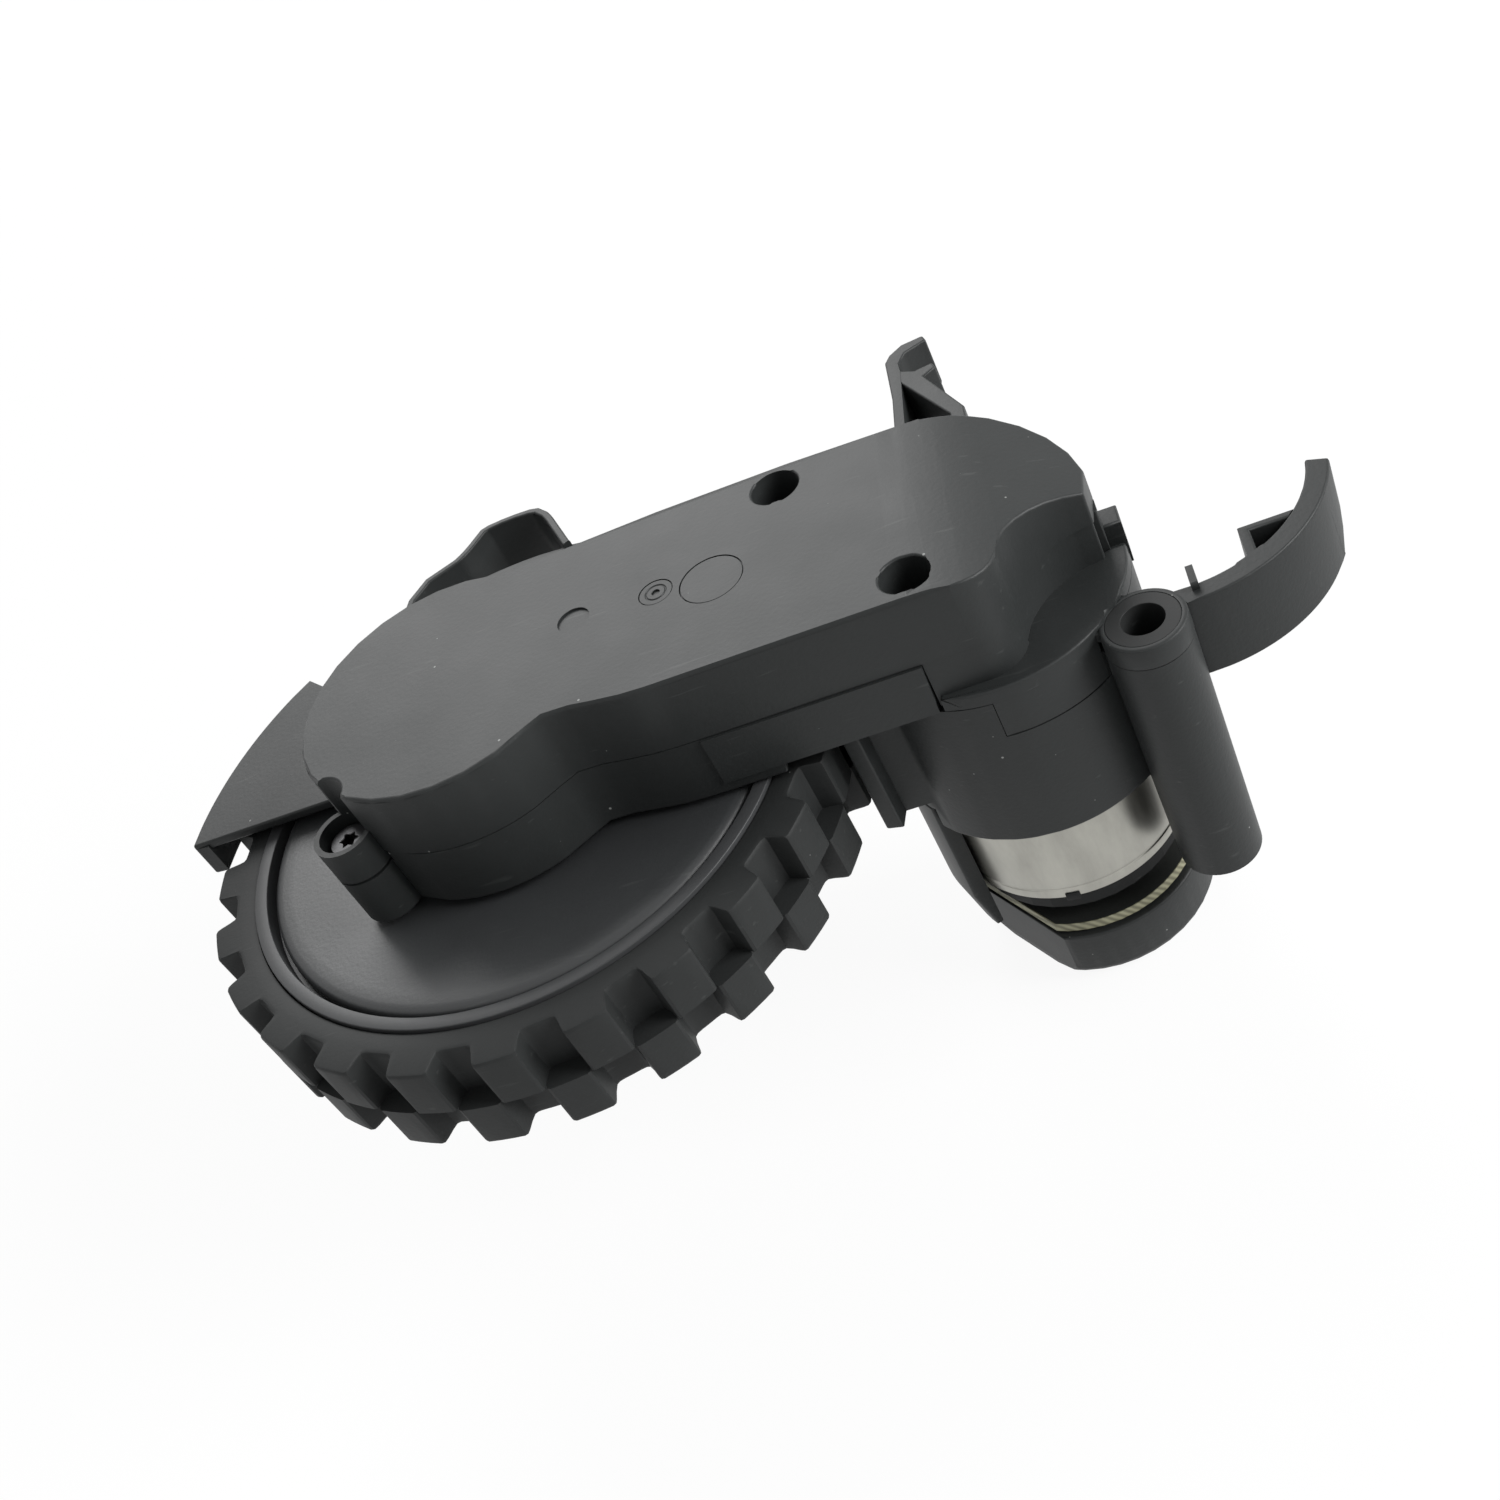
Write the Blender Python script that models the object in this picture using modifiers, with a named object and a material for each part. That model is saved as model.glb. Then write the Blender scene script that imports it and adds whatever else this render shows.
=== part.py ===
"""Drive wheel module of a robot vacuum cleaner: gearbox, motor, wheel and pivot arm.

Everything is drawn in millimetres about the wheel axle (x = 0, y = 0) and the middle of
the tread (z = 0), then hung on one empty that moves the pivot bore's top to the origin.
+Z is the outward normal of the gearbox cover, +X runs along the gearbox to the motor.
"""
import math

import bmesh
import bpy
from mathutils import Matrix, Vector

MM = 0.001

# Fits
GAP = 0.3                 # between two touching pieces
WALL = 1.5                # moulded wall

# Wheel
TYRE_R = 35.0
TREAD_LOW = -5.2
TREAD_TOP = 6.4
TREAD_SPLIT = 0.4         # height of the line where the two rows of blocks meet
BLOCKS = 24               # blocks in each row
GROOVE_DEPTH = 2.9
RUBBER_T = 4.0            # from the bead to the tread
RIM_STEP = 1.3            # width of the grey rim ring
AXLE_R = 2.5

# Gear train, from the wheel axle to the motor, all on one line
OUT_TEETH, LAST_TEETH, OUT_MODULE = 28, 12, 0.8
THIRD_TEETH, THIRD_PINION, THIRD_MODULE = 25, 10, 0.7
SECOND_TEETH, SECOND_PINION, SECOND_MODULE = 30, 10, 0.6
FIRST_TEETH, MOTOR_TEETH, FIRST_MODULE = 34, 10, 0.5
CHAIN_ANGLE = math.radians(1.457)
PIN_R = 1.0
BACKLASH = 0.3

# Gearbox
LEFT_R = 15.2             # lobe round the wheel axle
TOP_Z = 22.0
SEAM_Z = 14.0
FLOOR_LOW = 7.0           # underside beside the wheel
FLOOR_HIGH = 8.3          # underside beyond the step
STEP_X = 30.0
FLOOR_T = 1.5
LEDGE_TOP = 9.9
LEDGE_T = 1.5
COVER_T = 1.4
SHELF_X = -5.6            # start of the S wall, from the motor axis
SLOPE_START = 0.4         # where the cover begins to fall away, from the motor axis
SLOPE = 0.34              # fall of the cover towards its motor end
S_BEND = 4.5              # rounding where the S wall leaves the front
S_RUN = 3.4               # from the motor axis to the hollow of the S wall

# Motor, a 24.4 mm can
CAN_R = 12.2
CAN_LENGTH = 30.5
SLEEVE_T = 2.2            # wall of the sleeve, with the can's play
LOBE_STEP = 1.4           # the gearbox stands in from the sleeve by this
SLEEVE_LOW = -10.2
BELL_T = 2.0
BOARD_DROP = 4.4          # from the can's end to the board
BOARD_T = 1.1
CUP_LOW = -35.2
CUP_STEP = 0.5            # the rear cap is this much bigger than the can
CUP_CUT = 2.1             # depth of the flat side of the cap and the board
FLAT_ANGLE = math.radians(216)

# Pivot tube
TUBE_ANGLE = math.radians(-38.811)
TUBE_R = 4.05
TUBE_LAP = 0.74           # how far the tube sinks into the sleeve
TUBE_TOP = 9.5
TUBE_LOW = -22.6
COLLAR_H = 2.4
BUSH_BORE_R = 2.05

# Screws and lug
WELL_R = 2.45
WELL_FLOOR = 14.9
LUG_R = 3.2
LUG_FLOOR = 14.4
LUG_Z = 17.2

# Arms round the gearbox
ARCH_GAP = 1.6            # between the tyre and the wheel arch
ARCH_T = 1.8
FENDER_TOP = 8.5
ARM_R = 16.3
ARM_ROOT = 1.3            # lowest side of the arm, from the tube's axis
ARM_T = 2.2
ARM_TOP = 8.5
ARM_LOW = -0.7
HOOK_TOP = 15.0
HOOK_LOW = 9.0
LOOP_TOP = 8.0
LOOP_LOW = -1.0

# Distances that follow from the gears
LAST_C = OUT_MODULE * (OUT_TEETH + LAST_TEETH) / 2
THIRD_C = THIRD_MODULE * (THIRD_TEETH + THIRD_PINION) / 2
SECOND_C = SECOND_MODULE * (SECOND_TEETH + SECOND_PINION) / 2
FIRST_C = FIRST_MODULE * (FIRST_TEETH + MOTOR_TEETH) / 2
CHAIN = Vector((math.cos(CHAIN_ANGLE), math.sin(CHAIN_ANGLE)))
PIN_3 = CHAIN * LAST_C
PIN_2 = CHAIN * (LAST_C + THIRD_C)
PIN_1 = CHAIN * (LAST_C + THIRD_C + SECOND_C)
MOTOR = CHAIN * (LAST_C + THIRD_C + SECOND_C + FIRST_C)
SLEEVE_R = CAN_R + SLEEVE_T
RIGHT_R = SLEEVE_R - LOBE_STEP
S_TURN = RIGHT_R - S_RUN
CUP_R = CAN_R + CUP_STEP
CUP_FLAT = CUP_R - CUP_CUT
BEAD_R = TYRE_R - RUBBER_T
ARCH_IN = TYRE_R + ARCH_GAP
ARCH_OUT = ARCH_IN + ARCH_T
TUBE = MOTOR + Vector((math.cos(TUBE_ANGLE), math.sin(TUBE_ANGLE))) * (SLEEVE_R + TUBE_R - TUBE_LAP)
TOP_Y = MOTOR.y + RIGHT_R
LOW_Y = MOTOR.y - RIGHT_R
CAN_TOP = FLOOR_HIGH - GAP
CAN_LOW = CAN_TOP - CAN_LENGTH
BOARD_TOP = CAN_LOW - BOARD_DROP
CUP_TOP = BOARD_TOP - BOARD_T - GAP
REAR_SCREW = MOTOR + Vector((-15.4, RIGHT_R - WELL_R - 0.4))
FRONT_SCREW = MOTOR + Vector((-4.2, WELL_R + 0.95 - RIGHT_R))
LUG = Vector((-0.7282, -0.6854)) * (LEFT_R + 1.14)
PLATE_TOP = FLOOR_HIGH + FLOOR_T
SEAM_TOP = SEAM_Z + GAP
LEDGE_LOW = LEDGE_TOP - LEDGE_T

for old in list(bpy.data.objects):
    bpy.data.objects.remove(old, do_unlink=True)
parts = bpy.data.collections.new("robot_vacuum_wheel_module")
cutters = bpy.data.collections.new("cutters")
bpy.context.scene.collection.children.link(parts)
bpy.context.scene.collection.children.link(cutters)
root = bpy.data.objects.new("module_origin", None)
root.location = (-TUBE.x * MM, -TUBE.y * MM, -TUBE_TOP * MM)
parts.objects.link(root)


def make_material(name, color, roughness, metallic):
    mat = bpy.data.materials.new(name)
    mat.use_nodes = True
    bsdf = mat.node_tree.nodes["Principled BSDF"]
    bsdf.inputs["Base Color"].default_value = (*color, 1.0)
    bsdf.inputs["Roughness"].default_value = roughness
    bsdf.inputs["Metallic"].default_value = metallic
    return mat


BLACK = (0.035, 0.037, 0.037)
mats = {
    "abs_base": make_material("abs_base", BLACK, 0.55, 0.0),
    "abs_cover": make_material("abs_cover", (0.045, 0.047, 0.047), 0.5, 0.0),
    "rubber": make_material("rubber", (0.03, 0.031, 0.031), 0.75, 0.0),
    "hub_grey": make_material("hub_grey", (0.22, 0.22, 0.22), 0.45, 0.0),
    "hub_black": make_material("hub_black", (0.05, 0.051, 0.053), 0.5, 0.0),
    "can_steel": make_material("can_steel", (0.55, 0.54, 0.5), 0.3, 1.0),
    "steel": make_material("steel", (0.6, 0.6, 0.6), 0.25, 1.0),
    "screw_black": make_material("screw_black", (0.06, 0.06, 0.06), 0.4, 1.0),
    "brass": make_material("brass", (0.66, 0.5, 0.22), 0.35, 1.0),
    "acetal": make_material("acetal", (0.78, 0.77, 0.72), 0.4, 0.0),
    "board": make_material("board", (0.42, 0.4, 0.28), 0.6, 0.0),
    "bell": make_material("bell", (0.02, 0.02, 0.02), 0.5, 0.0),
    "ferrite": make_material("ferrite", (0.03, 0.03, 0.035), 0.6, 0.0),
    "connector": make_material("connector", (0.8, 0.79, 0.74), 0.5, 0.0),
}


def arc(cx, cy, radius, start, end, count):
    """Points of an arc in degrees, both ends included."""
    steps = [math.radians(start + (end - start) * i / count) for i in range(count + 1)]
    return [(cx + radius * math.cos(a), cy + radius * math.sin(a)) for a in steps]


def mesh_object(name, bm):
    mesh = bpy.data.meshes.new(name)
    bm.to_mesh(mesh)
    bm.free()
    obj = bpy.data.objects.new(name, mesh)
    cutters.objects.link(obj)
    return obj


def cylinder(x, y, low, top, radius, sides=32, top_radius=None):
    bm = bmesh.new()
    upper = radius if top_radius is None else top_radius
    place = Matrix.Translation((x * MM, y * MM, (low + top) / 2 * MM))
    bmesh.ops.create_cone(bm, cap_ends=True, segments=sides, radius1=radius * MM,
                          radius2=upper * MM, depth=(top - low) * MM, matrix=place)
    return mesh_object("cylinder", bm)


def box(low, top, turn=0.0):
    """A block between two corners, turned in degrees about its own upright middle."""
    bm = bmesh.new()
    size = [abs(b - a) * MM for a, b in zip(low, top)]
    middle = Vector([(a + b) / 2 * MM for a, b in zip(low, top)])
    place = Matrix.Translation(middle) @ Matrix.Rotation(math.radians(turn), 4, "Z")
    bmesh.ops.create_cube(bm, size=1.0, matrix=place @ Matrix.Diagonal((*size, 1.0)))
    return mesh_object("box", bm)


def prism(outline, low, top, hole=None):
    """A flat outline raised from low to top; hole is an inner outline left open."""
    curve = bpy.data.curves.new("outline", "CURVE")
    curve.dimensions = "2D"
    curve.fill_mode = "BOTH"
    curve.extrude = (top - low) / 2 * MM
    for loop in (outline, hole):
        if loop is None:
            continue
        spline = curve.splines.new("POLY")
        spline.points.add(len(loop) - 1)
        for point, (x, y) in zip(spline.points, loop):
            point.co = (x * MM, y * MM, 0.0, 1.0)
        spline.use_cyclic_u = True
    source = bpy.data.objects.new("outline", curve)
    source.location = (0.0, 0.0, (low + top) / 2 * MM)
    cutters.objects.link(source)
    bpy.context.view_layer.update()
    graph = bpy.context.evaluated_depsgraph_get()
    mesh = bpy.data.meshes.new_from_object(source.evaluated_get(graph))
    bm = bmesh.new()
    bm.from_mesh(mesh)
    bm.transform(source.matrix_world)
    bmesh.ops.remove_doubles(bm, verts=bm.verts, dist=1e-6)
    bmesh.ops.recalc_face_normals(bm, faces=bm.faces)
    bpy.data.objects.remove(source, do_unlink=True)
    return mesh_object("prism", bm)


def loft(rings):
    """A closed solid through rings of equal length, each an outline and its height."""
    bm = bmesh.new()
    loops = [[bm.verts.new((x * MM, y * MM, z * MM)) for x, y in ring] for ring, z in rings]
    count = len(loops[0])
    for lower, upper in zip(loops, loops[1:]):
        for i in range(count):
            j = (i + 1) % count
            bm.faces.new((lower[i], lower[j], upper[j], upper[i]))
    bm.faces.new(list(reversed(loops[0])))
    bm.faces.new(loops[-1])
    bmesh.ops.recalc_face_normals(bm, faces=bm.faces)
    return mesh_object("loft", bm)


def turned(profile, sides=48, at=(0.0, 0.0)):
    """A solid turned about an upright axis from a profile of (radius, z) going round once.

    A profile that starts and ends on the axis stays open there."""
    bm = bmesh.new()
    verts = [bm.verts.new((r * MM, 0.0, z * MM)) for r, z in profile]
    follow = verts[1:] if profile[0][0] == 0 else verts[1:] + verts[:1]
    for a, b in zip(verts, follow):
        bm.edges.new((a, b))
    obj = mesh_object("turned", bm)
    screw = obj.modifiers.new("Screw", "SCREW")
    screw.steps = sides
    screw.render_steps = sides
    screw.use_merge_vertices = True
    screw.merge_threshold = 1e-6
    settle(obj)
    bm = bmesh.new()
    bm.from_mesh(obj.data)
    bmesh.ops.recalc_face_normals(bm, faces=bm.faces)
    bm.transform(Matrix.Translation((at[0] * MM, at[1] * MM, 0.0)))
    bm.to_mesh(obj.data)
    bm.free()
    return obj


def side_prism(outline, low_x, high_x):
    """A prism whose outline is given as (y, z) and which runs along X."""
    obj = prism(outline, low_x, high_x)
    obj.data.transform(Matrix(((0, 0, 1, 0), (1, 0, 0, 0), (0, 1, 0, 0), (0, 0, 0, 1))))
    return obj


def settle(obj):
    """Applies an object's modifiers by keeping its evaluated mesh."""
    bpy.context.view_layer.update()
    graph = bpy.context.evaluated_depsgraph_get()
    mesh = bpy.data.meshes.new_from_object(obj.evaluated_get(graph))
    obj.modifiers.clear()
    obj.data = mesh
    return obj


def tidy(obj):
    """Closes the hair-thin slivers that a Boolean can leave."""
    bm = bmesh.new()
    bm.from_mesh(obj.data)
    bmesh.ops.remove_doubles(bm, verts=bm.verts, dist=3e-6)
    bmesh.ops.dissolve_degenerate(bm, dist=1e-6, edges=bm.edges)
    bm.to_mesh(obj.data)
    bm.free()


def combine(target, tools, operation):
    for tool in tools:
        step = target.modifiers.new("Boolean", "BOOLEAN")
        step.operation = operation
        step.solver = "EXACT"
        step.object = tool
        settle(target)
        tidy(target)
        bpy.data.objects.remove(tool, do_unlink=True)
    return target


def within(target, *tools):
    return combine(target, tools, "INTERSECT")


def join(target, *tools):
    return combine(target, tools, "UNION")


def cut(target, *tools):
    return combine(target, tools, "DIFFERENCE")


def finish(obj, name, mat, origin, smooth=40):
    """Names a piece, moves its origin to (x, y, z) and hangs it on the module's empty."""
    obj.name = name
    obj.data.name = name
    shift = Vector([c * MM for c in origin])
    bm = bmesh.new()
    bm.from_mesh(obj.data)
    bmesh.ops.transform(bm, matrix=Matrix.Translation(-shift), verts=bm.verts)
    bm.to_mesh(obj.data)
    bm.free()
    obj.data.materials.clear()
    obj.data.materials.append(mats[mat])
    obj.data.shade_smooth()
    obj.data.set_sharp_from_angle(angle=math.radians(smooth))
    obj.location = shift
    obj.parent = root
    cutters.objects.unlink(obj)
    parts.objects.link(obj)
    return obj


def offset(points, distance, closed=True):
    """Moves each point to the left of the path by distance (inwards on an anticlockwise loop)."""
    moved = []
    count = len(points)
    for i, point in enumerate(points):
        here = Vector(point)
        before = Vector(points[i - 1]) if closed or i > 0 else here
        after = Vector(points[(i + 1) % count]) if closed or i < count - 1 else here
        one = (here - before).normalized() if (here - before).length > 1e-9 else None
        two = (after - here).normalized() if (after - here).length > 1e-9 else None
        one = one or two
        two = two or one
        mitre = (Vector((-one.y, one.x)) + Vector((-two.y, two.x)))
        mitre = mitre / max(mitre.length_squared / 2, 0.6)
        moved.append(tuple(here + mitre * distance))
    return moved


def s_wall():
    """The S-shaped step between the high part of the gearbox and the ledge, left to right."""
    bend = arc(MOTOR.x - 0.6, LOW_Y + S_BEND, S_BEND, -90, -16, 5)
    turn = arc(MOTOR.x + RIGHT_R, LOW_Y + 3.5 - 0.208 * S_TURN, S_TURN, 168, 94, 7)
    return [(MOTOR.x + SHELF_X, LOW_Y)] + bend + turn


def box_outline(with_ledge_cut):
    """The gearbox seen from above, anticlockwise from the wall below the waist."""
    waist_x = LEFT_R - 2.6
    lower = []
    for i in range(6):
        x = waist_x - 1.0 + i * 2.6
        lower.append((x, LOW_Y + 1.3 * math.exp(-(((x - waist_x) / 5.0) ** 2))))
    if with_ledge_cut:
        right = s_wall() + arc(MOTOR.x, MOTOR.y, RIGHT_R, 8, 90, 6)
    else:
        right = arc(MOTOR.x, MOTOR.y, RIGHT_R, -90, 90, 13)
    meet = math.asin(min(TOP_Y / LEFT_R, 0.94))
    meet_x = LEFT_R * math.cos(meet)
    dent = [(meet_x + 3.8, TOP_Y), (meet_x + 1.2, TOP_Y - 0.7)]
    left = arc(0.0, 0.0, LEFT_R, math.degrees(meet), 311, 19)
    return lower + right + dent + left


def shrink(points, amount):
    return offset(points, amount)


def ledge_zone(inward, low, top):
    """The block in front of the S wall, its edge moved inwards past the wall."""
    edge = offset(s_wall(), inward, closed=False)
    start = (edge[0][0] - GAP, LOW_Y - 12.0)
    far = [(MOTOR.x + 24.0, edge[-1][1]), (MOTOR.x + 24.0, LOW_Y - 12.0)]
    return prism([start, (start[0], edge[0][1])] + edge[1:] + far, low, top)


def gear_outline(teeth, module, toward):
    """Straight-sided teeth; toward is the direction in degrees of one tooth's middle."""
    radius = module * teeth / 2
    half = (math.pi * module / 2 - BACKLASH) / 2
    slope = math.tan(math.radians(20))
    flank = []
    for r, reach in ((radius - 1.2 * module, -1.2), (radius + 0.85 * module, 0.85)):
        flank.append((min((half - reach * module * slope) / r, math.pi / teeth * 0.86), r))
    points = []
    for i in range(teeth):
        middle = math.radians(toward) + i * 2 * math.pi / teeth
        for side, r in [(-a, r) for a, r in flank] + list(reversed(flank)):
            points.append((r * math.cos(middle + side), r * math.sin(middle + side)))
    return points


def moved(points, x, y):
    return [(px + x, py + y) for px, py in points]


def gear(x, y, teeth, module, toward, low, top):
    return prism(moved(gear_outline(teeth, module, toward), x, y), low, top)


def screw(name, x, y, seat, length, head_r, head_h, shank_r, mat, down=True):
    """A pan-head screw with a six-lobe socket; seat is the underside of its head."""
    sign = 1.0 if down else -1.0
    lows = sorted((seat, seat + sign * head_h))
    body = cylinder(x, y, lows[0], lows[1], head_r, 20)
    shank = sorted((seat + sign * 0.2, seat - sign * length))
    join(body, cylinder(x, y, shank[0], shank[1], shank_r, 10))
    lobes = []
    for i in range(12):
        a = math.radians(i * 30)
        r = head_r * (0.42 + 0.1 * math.cos(6 * a))
        lobes.append((x + r * math.cos(a), y + r * math.sin(a)))
    sock = sorted((seat + sign * head_h * 0.35, seat + sign * (head_h + 0.5)))
    cut(body, prism(lobes, sock[0], sock[1]))
    return finish(body, name, mat, (x, y, seat), 30)


# Gearbox halves

def bosses(points, radius, low, top):
    return [cylinder(p.x, p.y, low, top, radius, 14) for p in points]


def loop_pocket():
    """The thin-walled pocket behind the wheel arch."""
    seat = ARCH_IN + 0.75
    outer = [(-15.6, math.sqrt(seat ** 2 - 15.6 ** 2)), (-15.1, ARCH_OUT - 1.7), (-13.1, ARCH_OUT + 1.3),
             (-9.4, ARCH_OUT + 3.1), (-7.7, ARCH_OUT + 5.0), (-6.2, ARCH_OUT + 7.3), (-5.2, ARCH_OUT + 7.7),
             (0.4, ARCH_OUT + 7.8), (1.6, ARCH_OUT + 7.4), (2.8, ARCH_OUT + 6.0), (3.9, ARCH_OUT + 3.6),
             (5.8, ARCH_OUT - 1.2), (6.0, math.sqrt(seat ** 2 - 6.0 ** 2))]
    inner = offset(list(reversed(outer)), 0.95, closed=False)
    return prism(outer + inner, LOOP_LOW, LOOP_TOP)


def hook_arm():
    """The hooked arm behind the motor lobe: an upright strut and a diagonal brace."""
    root_y = TOP_Y - 1.0
    strut = [(-4.9, root_y), (-3.7, root_y), (-2.5, TOP_Y + 19.9), (-2.6, TOP_Y + 21.7), (-1.6, TOP_Y + 23.3),
             (0.9, TOP_Y + 24.3), (0.6, TOP_Y + 25.4), (-1.9, TOP_Y + 25.1), (-3.4, TOP_Y + 23.9),
             (-4.0, TOP_Y + 22.7), (-3.9, TOP_Y + 15.7)]
    brace = [(-3.0, TOP_Y + 20.3), (-2.9, TOP_Y + 18.3), (1.7, TOP_Y + 9.3), (1.8, root_y), (3.3, root_y),
             (3.3, TOP_Y + 9.9), (-0.1, TOP_Y + 17.7), (1.3, TOP_Y + 18.6), (1.0, TOP_Y + 19.7),
             (-1.0, TOP_Y + 19.1)]
    strut = moved(strut, MOTOR.x, 0.0)
    brace = moved(brace, MOTOR.x, 0.0)
    arm = prism(list(reversed(strut)), HOOK_LOW, HOOK_TOP)
    join(arm, prism(brace, HOOK_LOW + 0.05, HOOK_TOP - 0.05))
    clear = box((MOTOR.x - 8, root_y - 1, SEAM_Z - 0.05), (MOTOR.x + 8, TOP_Y + GAP, HOOK_TOP + 1))
    return cut(arm, clear)


def curved_arm():
    """The arm that sweeps from the pivot tube; its far end is cut on a slant."""
    cx = TUBE.x + 4.4
    cy = TUBE.y + ARM_ROOT + ARM_R
    start = [(TUBE.x + 1.0, TUBE.y + 3.4), (TUBE.x + 1.0, TUBE.y + ARM_ROOT)]
    outer = arc(cx, cy, ARM_R, -90, -11, 14)
    inner = arc(cx, cy, ARM_R - ARM_T, -9, -86, 14)
    arm = prism(start + outer + inner, ARM_LOW, ARM_TOP)
    middle = ARM_R - ARM_T / 2
    left = ARM_R * 0.37
    foot = -math.sqrt(middle ** 2 - (left + 0.5) ** 2)
    shelf = foot + 4.4
    reach = math.sqrt(middle ** 2 - shelf ** 2)
    wall = [(left, foot), (left + 1.0, foot), (left + 1.0, shelf), (reach, shelf), (reach, shelf + 0.9),
            (left, shelf + 0.9)]
    join(arm, prism(moved(wall, cx, cy), ARM_LOW + 1.0, ARM_TOP - 0.05))
    spur_y = TUBE.y + ARM_ROOT + ARM_T
    join(arm, box((TUBE.x + 4.9, spur_y - 0.9, ARM_TOP - 1.0), (TUBE.x + 5.6, spur_y + 1.9, ARM_TOP + 0.8)))
    slant = [(cy - 0.44 * ARM_R, ARM_LOW - 1.0), (cy + 2.0, ARM_LOW - 1.0), (cy + 2.0, ARM_TOP - 3.2),
             (cy - 0.1 * ARM_R, ARM_TOP - 4.4)]
    return cut(arm, side_prism(slant, cx + ARM_R - 6.0, cx + ARM_R + 2.0))


def fender():
    """The plate over the left of the wheel, with the skirt that follows the tyre."""
    plate = prism(arc(0, 0, ARCH_OUT, 134.5, 172.3, 9) + arc(0, 0, LEFT_R - 0.6, 160, 132, 4),
                  FENDER_TOP - 1.1, FENDER_TOP)
    skirt = prism(arc(0, 0, ARCH_OUT, 134.5, 172.3, 9) + arc(0, 0, ARCH_IN, 172.3, 134.5, 9),
                  3.9, FENDER_TOP - 0.5)
    return join(plate, skirt)


def arch():
    """The hidden rail behind the wheel and the deep wall between wheel and motor."""
    rail = prism(arc(0, 0, ARCH_OUT - 0.05, 8, 136, 16) + arc(0, 0, ARCH_IN + 0.05, 136, 8, 16), 3.0, 6.6)
    deep = prism(arc(0, 0, ARCH_OUT, -15.6, 20, 6) + arc(0, 0, ARCH_IN, 20, -15.6, 6), -6.0, FLOOR_HIGH + 0.6)
    web = box((ARCH_OUT - 1.0, LOW_Y + 3.6, -6.05), (MOTOR.x - SLEEVE_R + 4.2, LOW_Y + 5.0, FLOOR_HIGH + 0.4))
    return join(rail, deep, web)


def sleeve():
    """The round sleeve under the gearbox that holds the motor can."""
    body = cylinder(MOTOR.x, MOTOR.y, SLEEVE_LOW, FLOOR_HIGH + 0.5, SLEEVE_R, 40)
    room = arc(MOTOR.x, MOTOR.y, SLEEVE_R + 1.0, 167, 218, 8) + arc(MOTOR.x, MOTOR.y, CAN_R, 218, 167, 8)
    return cut(body, prism(room, SLEEVE_LOW - 1, SLEEVE_LOW + 2.5))


def pivot_tube():
    top = TUBE_TOP - COLLAR_H - GAP
    tube = turned([(0, top), (TUBE_R, top), (TUBE_R, TUBE_LOW + 0.5), (TUBE_R - 0.5, TUBE_LOW),
                   (0, TUBE_LOW)], 26, TUBE)
    toward = (MOTOR - TUBE).normalized()
    middle = TUBE + toward * 3.2
    turn = math.degrees(math.atan2(toward.y, toward.x))
    web = box((middle.x - 2.6, middle.y - 1.3, SLEEVE_LOW + 0.6), (middle.x + 2.6, middle.y + 1.3, top - 0.6),
              turn)
    return join(tube, web)


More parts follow.
